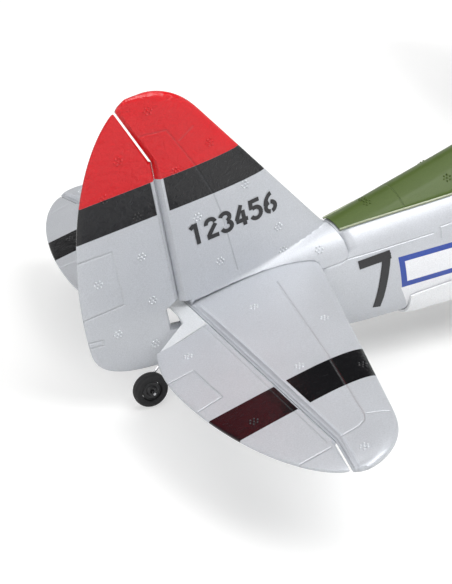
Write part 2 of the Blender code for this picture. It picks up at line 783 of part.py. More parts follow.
def wing_panel(side, tag):
    """The foam panel with its aileron bay, joiner bore, gun ports and leg socket."""
    rings = [wing_ring(0.0, at=side * SEAM)] + [wing_ring(y, at=side * y) for y in WING_SPANS]
    panel = add("wing_" + tag, loft(rings), SILVER)
    start, end = hinge_point(side, AILERON_IN - GAP), hinge_point(side, AILERON_OUT + GAP)
    far = WING_AXIS - WING_CHORD
    bay = [(start.x + GAP / 2.0, start.y), (end.x + GAP / 2.0, end.y), (far, end.y), (far, start.y)]
    cut(panel, plate("aileron_bay_" + tag, bay, 2.0 * WING_CHORD, Matrix.Translation((0.0, 0.0, start.z))))
    inner, outer = Vector(spar_at(0.0)), Vector(spar_at(side * SPAR_REACH))
    run = (outer - inner).normalized()
    cut(panel, add("spar_bore_" + tag, rod(inner - run * 2.0, outer + run * 0.4, SPAR_RADIUS + GAP)))
    return panel


def gun_battery(side, tag, panel):
    """Four stepped barrels on a bar buried in the leading edge."""
    level = wing_mid((GUN_SPANS[0] + GUN_SPANS[-1]) / 2.0, 0.2)
    inner, outer = sorted((side * (GUN_SPANS[0] - 2.0), side * (GUN_SPANS[-1] + 2.0)))
    bar_low = Vector((GUN_CARRIER, inner, level - GUN_BAR / 2.0))
    bar_high = Vector((GUN_CARRIER + GUN_BAR, outer, level + GUN_BAR / 2.0))
    room = Vector((GAP, GAP, GAP))
    guns = add("gun_barrels_" + tag, box(bar_low, bar_high), STEEL)
    cut(panel, add("gun_slot_" + tag, box(bar_low - room, bar_high + room)))
    for n, y in enumerate(GUN_SPANS):
        muzzle = wing_le(y) + 15.0 - 3.0 * n
        barrel = rod((GUN_CARRIER + 1.0, side * y, level), (muzzle, side * y, level), GUN_RADIUS, 10)
        port = rod((GUN_CARRIER, side * y, level), (muzzle + 9.0, side * y, level), GUN_RADIUS + GAP, 10)
        join(guns, add(f"barrel_{tag}_{n}", barrel))
        cut(panel, add(f"gun_port_{tag}_{n}", port))


def main_gear(side, tag, panel):
    """A wire leg with its axle bent inboard, a door clipped to the leg and the wheel."""
    top = Vector((LEG_TOP_STATION, side * leg_y, wing_mid(leg_y, 0.15)))
    foot = Vector((AXLE_STATION, side * leg_y, AXLE_HEIGHT))
    axle_end = Vector((AXLE_STATION, side * (MAIN_TRACK - MAIN_WIDTH / 2.0 - 1.2), AXLE_HEIGHT))
    wire("gear_leg_" + tag, [top, foot, axle_end], LEG_RADIUS, STEEL)
    lean = (top - foot).normalized()
    cut(panel, add("leg_socket_" + tag, rod(foot, top + lean * 0.4, LEG_RADIUS + GAP)))

    def leg_x(z):
        return top.lerp(foot, (top.z - z) / (top.z - foot.z)).x

    face_y = leg_y + LEG_RADIUS + 0.5
    door_top = lower_skin(leg_y, LEG_TOP_STATION) - 3.0
    door_low = AXLE_HEIGHT + 8.0
    outline = [(leg_x(door_top) + 11.0, door_top), (leg_x(door_top) - 11.0, door_top)]
    for u, v in arc((0.0, 0.0), 1.0, 180.0, 360.0):
        outline.append((leg_x(door_low) + 12.0 * u, door_low + 9.0 + 9.0 * v))
    spot = Matrix.Translation((0.0, side * (face_y + PLATE / 2.0), 0.0)) @ UPRIGHT
    door = plate("gear_door_" + tag, outline, PLATE, spot, SILVER)
    for n, share in enumerate((0.3, 0.75)):
        z = door_top + share * (door_low - door_top)
        low, high = sorted((side * (leg_y - LEG_RADIUS - 1.0), side * (face_y + 0.5)))
        clip = box((leg_x(z) - 2.6, low, z - 2.0), (leg_x(z) + 2.6, high, z + 2.0))
        join(door, add(f"door_clip_{tag}_{n}", clip))
    cut(door, add("leg_line_" + tag, rod(foot, top, LEG_RADIUS + GAP)))

    centre = (AXLE_STATION, side * MAIN_TRACK, AXLE_HEIGHT)
    axis = empty("wheel_axis_" + tag, centre, airframe)
    wheel(
        "main_tyre_" + tag, "main_hub_" + tag, centre,
        MAIN_RADIUS, MAIN_WIDTH, LEG_RADIUS + GAP, axis, ALUMINIUM,
    )


def aileron_drive(side, tag, panel):
    """The aileron with its horn, and the servo, arm and rod that move it, all square to the hinge."""
    frame = hinge_frame(side)
    upright = frame @ UPRIGHT
    bore = rod_bore(AILERON_ARM, AILERON_THROW)
    axis = empty("aileron_axis_" + tag, frame.translation, airframe)
    add("aileron_" + tag, loft([aileron_ring(side, y) for y in AILERON_SPANS]), SILVER, axis)
    low = -wing_half(AILERON_SERVO_SPAN, AILERON_HINGE)
    outline = [(-2.6, low - 1.4), (-9.5, low + 0.2), (-8.6, low - 1.8)]
    outline += arc((0.0, -AILERON_ARM), bore + 1.2, 225.0, 410.0)
    horn = plate("aileron_horn_" + tag, outline, PLATE, upright, WHITE, axis)
    drill = rod((0.0, -2.0, -AILERON_ARM), (0.0, 2.0, -AILERON_ARM), bore)
    drill.transform(frame)
    cut(horn, add("aileron_horn_hole_" + tag, drill))

    arm_axis = empty("aileron_arm_axis_" + tag, frame @ Vector((AILERON_ROD, 0.0, 0.0)), airframe)
    outline = arc((AILERON_ROD, 0.0), 2.0, 0.0, 180.0) + arc((AILERON_ROD, -AILERON_ARM), bore + 0.9, 180.0, 360.0)
    arm = plate("aileron_arm_" + tag, outline, PLATE, upright, WHITE, arm_axis)
    drill = rod((AILERON_ROD, -2.0, -AILERON_ARM), (AILERON_ROD, 2.0, -AILERON_ARM), bore)
    drill.transform(frame)
    cut(arm, add("aileron_arm_hole_" + tag, drill))

    out = -side
    reach = PLATE / 2.0 + GAP
    case_low, case_high = sorted((out * (reach + BOSS), out * (reach + SERVO_DEPTH)))
    rear, front = AILERON_ROD - 7.0, AILERON_ROD - 7.0 + AILERON_SERVO_LENGTH
    case = add("aileron_servo_" + tag, box((rear, case_low, -3.2), (front, case_high, 3.4), frame), BLACK)
    boss = rod((AILERON_ROD, out * reach, 0.0), (AILERON_ROD, out * (reach + BOSS + 1.0), 0.0), 2.0)
    boss.transform(frame)
    join(case, add("aileron_boss_" + tag, boss))
    room = sorted((-out * 2.2, out * (reach + SERVO_DEPTH + GAP)))
    pocket = box((rear - GAP, room[0], -30.0), (front + GAP, room[1], 3.4 + GAP), frame)
    cut(panel, add("servo_pocket_" + tag, pocket))

    bend = -out * ROD_BEND
    rod_points = [
        frame @ Vector((AILERON_ROD, -bend, -AILERON_ARM)),
        frame @ Vector((AILERON_ROD, bend, -AILERON_ARM)),
        frame @ Vector((0.0, bend, -AILERON_ARM)),
        frame @ Vector((0.0, -bend, -AILERON_ARM)),
    ]
    rod_axis = empty("aileron_rod_axis_" + tag, rod_points[1], airframe)
    wire("aileron_rod_" + tag, rod_points, ROD_RADIUS, STEEL, rod_axis)


for side, tag in ((1.0, "left"), (-1.0, "right")):
    wing = wing_panel(side, tag)
    gun_battery(side, tag, wing)
    main_gear(side, tag, wing)
    aileron_drive(side, tag, wing)

# Fuselage: two foam halves, hollow forward of the tail
TAIL_STATIONS = (20.0, 38.0, 56.0)
BODY_STATIONS = (78.0, 100.0, 125.0, 150.0, 175.0, 200.0, 225.0, 250.0, 275.0, 300.0, 325.0, 350.0, 372.0)


def stern_ring(side, ahead, widest):
    ring = []
    for y, z in section(2.0):
        ring.append((rudder_hinge(z) + ahead, side * max(SEAM, min(y, widest)), z))
    return ring


def fuselage_half(side, tag):
    rings = [stern_ring(side, GAP / 2.0, LIP), stern_ring(side, 5.6, WALL)]
    for x in (*TAIL_STATIONS, *BODY_STATIONS, NOSE_STATION):
        rings.append([(x, side * max(SEAM, y), z) for y, z in section(x)])
    return add("fuselage_" + tag, loft(rings), SILVER)


fuselage_left = fuselage_half(1.0, "left")
fuselage_right = fuselage_half(-1.0, "right")
hollow = [full_ring(x, WALL) for x in (CAVITY_TAIL, *BODY_STATIONS, NOSE_STATION)]
hollow.append([(NOSE_STATION + 10.0, y, z) for _, y, z in full_ring(NOSE_STATION, WALL)])
cavity = add("cavity", loft(hollow))
saddle_outline = [
    (-30.0, -TAIL_THICK_ROOT / 2.0 - GAP),
    (TAIL_SEAT_LE + GAP, -TAIL_THICK_ROOT / 2.0 - GAP),
    (TAIL_SEAT_LE + GAP, FIN_BASE - GAP),
    *arc((FIN_FRONT - FOOT_CORNER, FIN_BASE + FOOT_CORNER), FOOT_CORNER + GAP, -90.0, 0.0),
    (FIN_FRONT + GAP, 4.0),
    (FIN_FRONT - 2.0 + GAP, 12.0),
    (-30.0, 12.0),
]
saddle = plate("saddle", saddle_outline, 60.0, UPRIGHT)
hatch_mouth = add("hatch_mouth", box(
    (HATCH_REAR + HATCH_LIP, -HATCH_MOUTH, -5.0), (HATCH_FRONT - HATCH_LIP + 2.0, HATCH_MOUTH, 30.0)
))
wing_slot = add("wing_slot", loft([wing_ring(abs(y), GAP, y) for y in (-45.0, 0.0, 45.0)]))
cut(fuselage_left, cavity, saddle, hatch_mouth, wing_slot)
cut(fuselage_right, cavity, saddle, hatch_mouth, wing_slot)

# Turtledeck: the olive spine glued on behind the canopy
SPINE_REAR = FIN_FRONT + 2 * GAP
SPINE_FRONT = HATCH_REAR - GAP
SPINE = ((56.0, 5.3, 8.2), (100.0, 11.8, 13.9), (150.0, 16.5, 21.0), (200.0, 19.0, 28.5), (250.0, 20.0, 36.0))
ACROSS = (1.0, 0.72, 0.36, 0.0, -0.36, -0.72, -1.0)


SPINE_ACROSS = (1.0, 0.7, 0.42, 0.18, 0.0, -0.18, -0.42, -0.7, -1.0)


def ridge_share(f):
    """Straight sides that meet in a rounded ridge: 0 at the edges and 1 on the centre line."""
    outer = math.hypot(1.0, RIDGE_ROUND)
    return (outer - math.hypot(f, RIDGE_ROUND)) / (outer - RIDGE_ROUND)


def spine_ring(x):
    half, ridge = smooth_row(SPINE, x)
    step = DECK_STEP * max(0.3, min(1.0, (x - SPINE_REAR) / 24.0))
    rise = max(0.12, ridge - deck_at(x, 0.0) - DECK_GAP - step)
    over, under = [], []
    for f in SPINE_ACROSS:
        foot = deck_at(x, f * half) + DECK_GAP
        over.append((x, f * half, foot + step + rise * ridge_share(f)))
        under.append((x, f * half, foot))
    return over + under[::-1]


spine_stations = (SPINE_REAR, 70.0, 85.0, 100.0, 125.0, 150.0, 175.0, 200.0, 220.0, SPINE_FRONT)
turtledeck = add("turtledeck", loft([spine_ring(x) for x in spine_stations]), GREEN)

# Canopy hatch: a foam sill that lifts off, its cockpit fittings and the clear canopy glued to it
hatch_axis = empty("hatch_axis", (HATCH_REAR, 0.0, 20.0), airframe)
SILL = ((HATCH_REAR, 19.8), (265.0, 21.0), (300.0, 20.0), (322.0, 16.5), (HATCH_FRONT, 10.0))
CANOPY = (
    (HATCH_REAR, 17.6, 34.6), (262.0, 18.6, 37.4), (285.0, 18.2, 36.6), (300.0, 17.4, 33.3), (333.0, 8.6, 18.0)
)
HATCH_STATIONS = (265.0, 285.0, 300.0)
GLAZING_STATIONS = (HATCH_REAR + 0.4, 250.0, 262.0, 275.0, 288.0, 300.0, 311.0, 322.0)


def sill_ring(x):
    (half,) = smooth_row(SILL, x)
    over = [(x, f * half, deck_at(x, f * half) + DECK_GAP + HATCH_SILL) for f in ACROSS]
    under = [(x, f * half, deck_at(x, f * half) + DECK_GAP) for f in ACROSS]
    return over + under[::-1]


sill_rings = [sill_ring(x) for x in (HATCH_REAR, *HATCH_STATIONS, 322.0, HATCH_FRONT)]
hatch = add("canopy_hatch", loft(sill_rings), GREEN, hatch_axis)


def plug_ring(x):
    half = HATCH_MOUTH - GAP - 0.1
    over = [(x, f * half, deck_at(x, f * half) + DECK_GAP + HATCH_SILL / 2.0) for f in ACROSS]
    return over + [(x, -half, 4.0), (x, half, 4.0)]


plug_stations = (HATCH_REAR + HATCH_LIP + 0.4, *HATCH_STATIONS, HATCH_FRONT - HATCH_LIP + 1.6)
plug = add("hatch_plug", loft([plug_ring(x) for x in plug_stations]))
seat = add("cockpit_seat", box((249.0, -8.0, 14.4), (253.0, 8.0, 30.0)))
panel = add("cockpit_panel", box((300.0, -12.0, 13.2), (303.0, 12.0, 21.0)))
join(hatch, plug, seat, panel)


def canopy_ring(x):
    half, top = smooth_row(CANOPY, x)
    seat = 2.4 * DECK_GAP + HATCH_SILL
    foot = deck_at(x, half) + seat
    outer, inner = [], []
    for i in range(9):
        turn = math.pi * i / 8.0
        y = half * math.cos(turn)
        rise = math.sin(turn) ** 0.8 if 0 < i < 8 else 0.0
        outer.append((x, y, max(foot + (top - foot) * rise, deck_at(x, y) + seat)))
        shell = foot + (top - foot - GLAZING) * rise
        inner.append((x, y * (half - GLAZING) / half, max(shell, deck_at(x, y) + seat)))
    return outer + inner[::-1]


canopy = add("canopy_glazing", loft([canopy_ring(x) for x in GLAZING_STATIONS]), CLEAR, hatch_axis)
magnet_low = Vector((HATCH_REAR + HATCH_LIP + 6.0, 0.0, 3.6))
magnet_high = magnet_low + Vector((0.0, 0.0, MAGNET_THICK))
pocket_low, pocket_high = magnet_low - Vector((0.0, 0.0, 2.0 * GAP)), magnet_high + Vector((0.0, 0.0, GAP))
hatch_magnet = add("hatch_magnet", rod(magnet_low, magnet_high, MAGNET_RADIUS, 16), STEEL, hatch_axis)
cut(hatch, add("magnet_pocket", rod(pocket_low, pocket_high, MAGNET_RADIUS + GAP, 16)))

# Supercharger fairing under the rear fuselage, with its dark exhaust disc
FAIRING = (
    (75.5, 12.4, 0.2), (79.0, 13.0, 0.9), (100.0, 15.6, 1.1), (125.0, 16.4, 1.1), (150.0, 12.0, 0.8), (168.0, 4.0, 0.2)
)
FAIRING_STATIONS = (75.5, 79.0, 86.0, 93.0, 100.0, 112.0, 125.0, 138.0, 150.0, 168.0)
FAIRING_ACROSS = (1.0, 0.92, 0.7, 0.35, 0.0, -0.35, -0.7, -0.92, -1.0)
FAIRING_SEAT = 2.0 * GAP
OUTLET_STATION = 103.5
OUTLET_RADIUS = 5.6


def below_belly(x, y, away):
    """A point square off the fuselage's lower skin."""
    lean = (belly_at(x, y + 0.1) - belly_at(x, y - 0.1)) / 0.2
    out = Vector((lean, -1.0)).normalized() * away
    return (x, y + out.x, belly_at(x, y) + out.y)


def fairing_ring(x):
    half, depth = smooth_row(FAIRING, x)
    over = [below_belly(x, f * half, FAIRING_SEAT) for f in FAIRING_ACROSS]
    under = [below_belly(x, f * half, FAIRING_SEAT + 0.4 + depth * (1.0 - f ** 4)) for f in FAIRING_ACROSS]
    return over + under[::-1]


fairing = add("turbo_fairing", loft([fairing_ring(x) for x in FAIRING_STATIONS]), SILVER)
slope = (belly_at(OUTLET_STATION + 5.0, 0.0) - belly_at(OUTLET_STATION - 5.0, 0.0)) / 10.0
tilt = Vector((slope, 0.0, -1.0)).normalized()
disc_top = Vector((OUTLET_STATION, 0.0, belly_at(OUTLET_STATION, 0.0))) + tilt * 2.0 * GAP
outlet_profile = (
    (0.0, 0.0), (0.0, OUTLET_RADIUS), (2.4, OUTLET_RADIUS), (2.4, OUTLET_RADIUS - 1.4),
    (1.6, OUTLET_RADIUS - 2.0), (1.6, 0.0),
)
turbo_outlet = turned("turbo_outlet", outlet_profile, disc_top, tilt, BLACK)
cut(fairing, add("outlet_recess", rod(disc_top - tilt * GAP, disc_top + tilt * 12.0, OUTLET_RADIUS + GAP, 24)))

# Tray across the fuselage with the battery, receiver and servos
def tray_ring(x, z):
    half = side_at(x, z) - WALL - GAP - 0.3
    return [(x, half, z), (x, -half, z), (x, -half, z - TRAY_THICK), (x, half, z - TRAY_THICK)]


tray_stations = [TRAY_REAR + (TRAY_FRONT - TRAY_REAR) * step / 9.0 for step in range(10)]
equipment_tray = add("equipment_tray", loft([tray_ring(x, TRAY_TOP) for x in tray_stations]), PLY)
floor = TRAY_TOP + GAP


def on_tray(station, length, width, low, high, y=0.0):
    return box((station - length / 2.0, y - width / 2.0, low), (station + length / 2.0, y + width / 2.0, high))


pack = on_tray(BATTERY_STATION, BATTERY_LENGTH, BATTERY_WIDTH, floor, floor + BATTERY_HEIGHT)
battery = add("battery", pack, BLUE)
edges = battery.modifiers.new("rounded_edges", "BEVEL")
edges.width = BATTERY_ROUND * MM
edges.segments = 2
deck = floor + BOARD_THICK
receiver = add("receiver", on_tray(RECEIVER_STATION, RECEIVER_LENGTH, RECEIVER_WIDTH, floor, deck), BOARD)
chips = ((-7.0, 10.0, 10.0, 1.4, 3.0), (5.0, 6.0, 6.0, 1.0, -6.0), (12.5, 5.0, 20.0, 2.6, 0.0))
for n, (ahead, length, width, high, y) in enumerate(chips):
    chip = on_tray(RECEIVER_STATION + ahead, length, width, deck - 0.4, deck + high, y)
    join(receiver, add(f"receiver_chip_{n}", chip))

ELEVATOR_SERVO_Y = 17.9
RUDDER_SERVO_Y = 3.5
ARM_LEVEL = floor + 9.0


def servo_set(tag, plate_y, throw, bend, target):
    """A servo on the tray, its arm pointing up beside it, and the rod back to the tail."""
    face = plate_y - PLATE / 2.0 - GAP
    rear, front = SERVO_STATION + SERVO_AHEAD - SERVO_LENGTH, SERVO_STATION + SERVO_AHEAD
    case = box((rear, face - SERVO_DEPTH, floor), (front, face - BOSS, floor + SERVO_HEIGHT))
    case = add(tag + "_servo", case, BLACK)
    lug_low, lug_high = face - BOSS - 3.0, face - BOSS - 1.8
    lugs = box((rear - SERVO_LUG, lug_low, floor + 2.5), (front + SERVO_LUG, lug_high, floor + SERVO_HEIGHT - 2.5))
    pivot = Vector((SERVO_STATION, plate_y, ARM_LEVEL))
    boss = rod((SERVO_STATION, face - BOSS - 1.0, ARM_LEVEL), (SERVO_STATION, face, ARM_LEVEL), 2.4)
    join(case, add(tag + "_servo_lugs", lugs), add(tag + "_servo_boss", boss))

    axis = empty(tag + "_arm_axis", pivot, airframe)
    hole = pivot + Vector((0.0, 0.0, ARM))
    bore = rod_bore(ARM, throw)
    outline = arc((SERVO_STATION, ARM_LEVEL), 2.6, 180.0, 360.0)
    outline += arc((SERVO_STATION, hole.z), bore + 1.0, 0.0, 180.0)
    spot = Matrix.Translation((0.0, plate_y, 0.0)) @ UPRIGHT
    arm = plate(tag + "_arm", outline, PLATE, spot, WHITE, axis)
    cut(arm, add(tag + "_arm_hole", rod(hole - across, hole + across, bore)))

    near = hole + Vector((0.0, ROD_BEND, 0.0))
    points = [hole - Vector((0.0, ROD_BEND, 0.0)), near, target + bend, target - bend]
    rod_axis = empty(tag + "_rod_axis", near, airframe)
    wire(tag + "_rod", points, ROD_RADIUS, STEEL, rod_axis)
    run = (target + bend - near).normalized()
    cut(fuselage_left, add(tag + "_tunnel", rod(near + run * 20.0, target + bend, TUNNEL_RADIUS)))


servo_set("elevator", ELEVATOR_SERVO_Y, ELEVATOR_THROW, Vector((0.0, ROD_BEND, 0.0)), elevator_hole)
servo_set("rudder", RUDDER_SERVO_Y, RUDDER_THROW, Vector((0.0, 0.0, ROD_BEND)), rudder_hole)

# Firewall and motor
FIREWALL_REAR = 388.0


def firewall_ring(x):
    return [(x, y, z) for _, y, z in full_ring(min(x, NOSE_STATION), WALL + GAP + 0.2)]


firewall = add("firewall", loft([firewall_ring(FIREWALL_REAR), firewall_ring(FIREWALL_REAR + 3.0)]), PLY)
nose = (0.0, 0.0, THRUST)
forward = (1.0, 0.0, 0.0)
mount_rear = FIREWALL_REAR + 3.0 + GAP
MOUNT_FRONT = 422.0
mount_profile = (
    (mount_rear, 0.0), (mount_rear, 13.0), (mount_rear + 2.0, 13.0), (mount_rear + 4.0, 9.0),
    (MOUNT_FRONT, 7.0), (MOUNT_FRONT, 0.0),
)
motor_mount = turned("motor_mount", mount_profile, nose, forward, BLACK)
STATOR_RADIUS = 9.6
stator_rear = MOUNT_FRONT + GAP
stator_profile = (
    (stator_rear, SHAFT_RADIUS + 0.4), (stator_rear, 5.0), (MOUNT_FRONT + 4.0, 5.0),
    (MOUNT_FRONT + 4.0, STATOR_RADIUS), (MOUNT_FRONT + 17.0, STATOR_RADIUS), (MOUNT_FRONT + 17.0, SHAFT_RADIUS + 0.4),
)
motor_stator = turned("motor_stator", stator_profile, nose, forward, COPPER)
prop_axis = empty("prop_axis", (PROP_STATION, 0.0, THRUST), airframe)
bell_bore = STATOR_RADIUS + GAP + 0.2
bell_profile = (
    (MOUNT_FRONT + 6.0, 0.0), (MOUNT_FRONT + 6.0, SHAFT_RADIUS), (MOUNT_FRONT + 18.0, SHAFT_RADIUS),
    (MOUNT_FRONT + 18.0, bell_bore), (MOUNT_FRONT + 2.0, bell_bore), (MOUNT_FRONT + 2.0, bell_bore + 1.9),
    (MOUNT_FRONT + 19.0, bell_bore + 1.9), (MOUNT_FRONT + 21.0, 9.0), (MOUNT_FRONT + 21.0, SHAFT_RADIUS),
    (PROP_STATION + 10.0, SHAFT_RADIUS), (PROP_STATION + 10.0, 0.0),
)
motor_bell = turned("motor_bell", bell_profile, nose, forward, ALUMINIUM, prop_axis, 18)


# Cowl: a moulded shell with a rolled front lip
def cowl_ring(x, inset):
    ring = []
    for i in range(28):
        turn = math.tau * i / 28.0
        up = math.sin(turn)
        half = COWL_HALF - inset
        reach = (COWL_UPPER if up > 0.0 else COWL_LOWER) - inset
        y = math.copysign(half * abs(math.cos(turn)) ** (2.0 / ROUND), math.cos(turn))
        z = THRUST - 1.0 + math.copysign(reach * abs(up) ** (2.0 / ROUND), up)
        ring.append((x, y, z))
    return ring


cowl_profile = (
    (COWL_REAR, 0.0), (412.0, -0.6), (430.0, -0.2), (441.0, 1.6), (448.0, 4.6), (COWL_FRONT, 8.4),
    (450.2, 10.4), (446.0, 10.2), (434.0, 5.4), (418.0, 2.8), (COWL_REAR, 2.4),
)
cowl = add("cowl", loft([cowl_ring(x, inset) for x, inset in cowl_profile], closed=True), RED)

# Dummy radial engine: a ring of finned cylinders round the motor
engine_plate = ((430.0, 13.4), (430.0, 24.0), (432.0, 24.0), (432.0, 17.0), (445.0, 15.4), (446.5, 13.4))
engine = turned("dummy_engine", engine_plate, nose, forward, BLACK, None, 20)
for n in range(9):
    turn = math.tau * n / 9.0
    out = Vector((0.0, math.cos(turn), math.sin(turn)))
    start = Vector((438.5, 0.0, THRUST)) + out * 15.0
    head = ((0.0, 0.0), (0.0, 3.3), (3.5, 3.3), (3.5, 2.7), (4.5, 2.7), (4.5, 3.4), (6.8, 3.4), (6.8, 0.0))
    join(engine, turned(f"cylinder_{n}", head, start, out, None, None, 8))

# Propeller with four paddle blades, held by the spinner nut
hub = ((PROP_STATION - 5.0, 1.8), (PROP_STATION - 5.0, 6.4), (PROP_STATION + 4.0, 6.4), (PROP_STATION + 4.0, 1.8))
propeller = turned("propeller", hub, nose, forward, BLACK, prop_axis)
BLADE = (
    (4.6, 5.0, 60.0, 3.2), (12.0, 8.0, 52.0, 2.6), (28.0, 15.0, 38.0, 1.9),
    (50.0, 17.0, 27.0, 1.4), (70.0, 14.0, 21.0, 1.0), (79.0, 7.0, 19.0, 0.7),
)


def blade_ring(turn, reach, chord, pitch, thick):
    out = Vector((0.0, math.cos(turn), math.sin(turn)))
    along = Vector((0.0, -math.sin(turn), math.cos(turn)))
    lean = math.radians(pitch)
    edge = along * math.cos(lean) + Vector(forward) * math.sin(lean)
    face = along * -math.sin(lean) + Vector(forward) * math.cos(lean)
    centre = Vector((PROP_STATION - 0.5, 0.0, THRUST)) + out * reach * PROP_RADIUS / 80.0
    ring = []
    for i in range(8):
        step = math.tau * i / 8.0
        ring.append(centre + edge * chord / 2.0 * math.cos(step) + face * thick / 2.0 * math.sin(step))
    return ring


for n in range(4):
    turn = math.tau * (n / 4.0 + 0.125)
    join(propeller, add(f"blade_{n}", loft([blade_ring(turn, *row) for row in BLADE])))
nut_rear = PROP_STATION + 4.3
nut_profile = (
    (PROP_STATION + 10.6, 0.0), (PROP_STATION + 10.6, SHAFT_RADIUS + GAP), (nut_rear, SHAFT_RADIUS + GAP),
    (nut_rear, 6.8), (PROP_STATION + 9.0, 6.2), (PROP_STATION + 14.0, 4.0), (PROP_STATION + 16.0, 0.0),
)
spinner = turned("spinner", nut_profile, nose, forward, ALUMINIUM, prop_axis)

# Stand the aeroplane on the ground plane, centred on its bounding box
bpy.context.view_layer.update()
depsgraph = bpy.context.evaluated_depsgraph_get()
corners = []
for made in parts.objects:
    if made.type in {"MESH", "CURVE"}:
        shape = made.evaluated_get(depsgraph)
        corners += [shape.matrix_world @ vertex.co for vertex in shape.to_mesh().vertices]
        shape.to_mesh_clear()
low = [min(corner[k] for corner in corners) for k in range(3)]
high = [max(corner[k] for corner in corners) for k in range(3)]
airframe.location = (-(low[0] + high[0]) / 2.0, -(low[1] + high[1]) / 2.0, -low[2])
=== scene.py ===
import json
import math

import bmesh
import bpy
from mathutils import Matrix, Vector


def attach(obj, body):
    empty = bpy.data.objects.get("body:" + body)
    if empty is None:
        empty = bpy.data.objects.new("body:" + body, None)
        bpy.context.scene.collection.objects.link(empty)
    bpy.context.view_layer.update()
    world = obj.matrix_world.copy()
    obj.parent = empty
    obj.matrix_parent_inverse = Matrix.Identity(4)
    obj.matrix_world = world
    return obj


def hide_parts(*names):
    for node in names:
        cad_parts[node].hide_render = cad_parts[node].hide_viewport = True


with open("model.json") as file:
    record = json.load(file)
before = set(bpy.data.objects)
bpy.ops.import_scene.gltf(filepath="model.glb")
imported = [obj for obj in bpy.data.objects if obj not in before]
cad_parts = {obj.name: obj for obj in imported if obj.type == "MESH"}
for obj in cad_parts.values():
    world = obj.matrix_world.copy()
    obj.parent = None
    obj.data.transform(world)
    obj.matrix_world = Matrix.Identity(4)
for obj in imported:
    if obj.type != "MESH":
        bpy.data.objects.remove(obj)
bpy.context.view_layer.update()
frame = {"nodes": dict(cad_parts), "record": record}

# Fuselage: two foam halves glued along the centre line, hollow ahead of the tail and open under the
# canopy hatch. Moulded in foam with a fine bead grain and sprayed silver, with engraved panel lines.
MM = 0.001
GAP = 0.3
SEAM = 0.15
LIP = 0.4
WALL = 4.5
ROUND = 2.2
FUSELAGE = (
    (2.0, -18.0, 3.4, -8.0, 3.4),
    (20.0, -23.4, 6.3, -8.6, 4.8),
    (55.0, -32.5, 11.6, -10.2, 7.4),
    (100.0, -38.8, 17.5, -13.0, 9.6),
    (150.0, -47.6, 23.0, -16.5, 11.0),
    (200.0, -55.8, 27.5, -19.0, 12.0),
    (250.0, -62.0, 30.5, -21.0, 12.8),
    (300.0, -65.5, 32.0, -22.0, 13.4),
    (350.0, -66.0, 32.0, -22.0, 13.4),
    (396.0, -63.0, 31.5, -21.5, 12.6),
)
NOSE_STATION = 392.0
CAVITY_TAIL = 60.0
HINGE_FOOT = -2.8
HINGE_RAKE = 0.04
FIN_KINK = 53.9
FIN_KINK_SLOPE = 0.377
SILVER = (0.55, 0.568, 0.602)
# Painted groove shade: the dark grey that the groove masks blend into the paint.
PAINTED_GROOVE_SHADE = (0.2, 0.21, 0.22)
SIDES = ((1.0, "left"), (-1.0, "right"))

joints = {joint["name"]: joint for joint in frame["record"]["behaviour"]["joints"]}
thrust_line = joints["prop_spin"]["axis"]
PITCH = math.atan2(thrust_line[2], thrust_line[0])
AIRFRAME = Matrix.Translation(joints["elevator_hinge"]["pos_m"]) @ Matrix.Rotation(-PITCH, 4, "Y")


class Shade:
    """A socket in a material's node tree; arithmetic on it adds Math nodes."""

    def __init__(self, tree, socket=None):
        self.tree = tree
        self.socket = socket

    def make(self, kind, settings=None, inputs=None, output=0):
        """Adds any node: its settings first, then values or links for its sockets; gives one output."""
        node = self.tree.nodes.new(kind)
        for name, value in (settings or {}).items():
            setattr(node, name, value)
        for name, value in (inputs or {}).items():
            if isinstance(value, Shade):
                self.tree.links.new(value.socket, node.inputs[name])
            else:
                node.inputs[name].default_value = value
        return Shade(self.tree, None if output is None else node.outputs[output])

    def math(self, operation, *others, first=None):
        values = (self, *others) if first is None else (first, self)
        return self.make("ShaderNodeMath", {"operation": operation}, dict(enumerate(values)))

    def __add__(self, other):
        return self.math("ADD", other)

    __radd__ = __add__

    def __sub__(self, other):
        return self.math("SUBTRACT", other)

    def __rsub__(self, other):
        return self.math("SUBTRACT", first=other)

    def __mul__(self, other):
        return self.math("MULTIPLY", other)

    __rmul__ = __mul__

    def __truediv__(self, other):
        return self.math("DIVIDE", other)

    def __abs__(self):
        return self.math("ABSOLUTE")

    def most(self, other):
        return self.math("MAXIMUM", other)

    def above(self, edge, blur=0.12):
        """0 below an edge and 1 above it, with a narrow soft border."""
        low, high = edge - blur / 2.0, edge + blur / 2.0
        names = {"Value": self, "From Min": low, "From Max": high}
        return self.make("ShaderNodeMapRange", {"interpolation_type": "SMOOTHSTEP"}, names)

    def within(self, low, high, blur=0.12):
        return self.above(low, blur) * (1.0 - self.above(high, blur))


def start_material(name, **fixed):
    """A material with its constant shader values set; gives it back with a Shade to hang nodes on."""
    material = bpy.data.materials.new(name)
    material.use_nodes = True
    surface = material.node_tree.nodes["Principled BSDF"]
    for socket, value in fixed.items():
        surface.inputs[socket.replace("_", " ")].default_value = value
    return material, Shade(material.node_tree)


def drive(material, **links):
    """Feeds shader sockets from Shades."""
    surface = material.node_tree.nodes["Principled BSDF"]
    for socket, value in links.items():
        material.node_tree.links.new(value.socket, surface.inputs[socket.replace("_", " ")])


def coordinates(ink):
    """Body-frame position in millimetres: the vector and its x, y and z."""
    spot = ink.make("ShaderNodeTexCoord", output="Object")
    origin = AIRFRAME.inverted().translation / MM
    turn = {"Vector": spot, "Location": origin, "Rotation": (0.0, PITCH, 0.0), "Scale": (1.0 / MM,) * 3}
    spot = ink.make("ShaderNodeMapping", None, turn)
    parts = [ink.make("ShaderNodeSeparateXYZ", None, {0: spot}, output=axis) for axis in "XYZ"]
    return spot, *parts


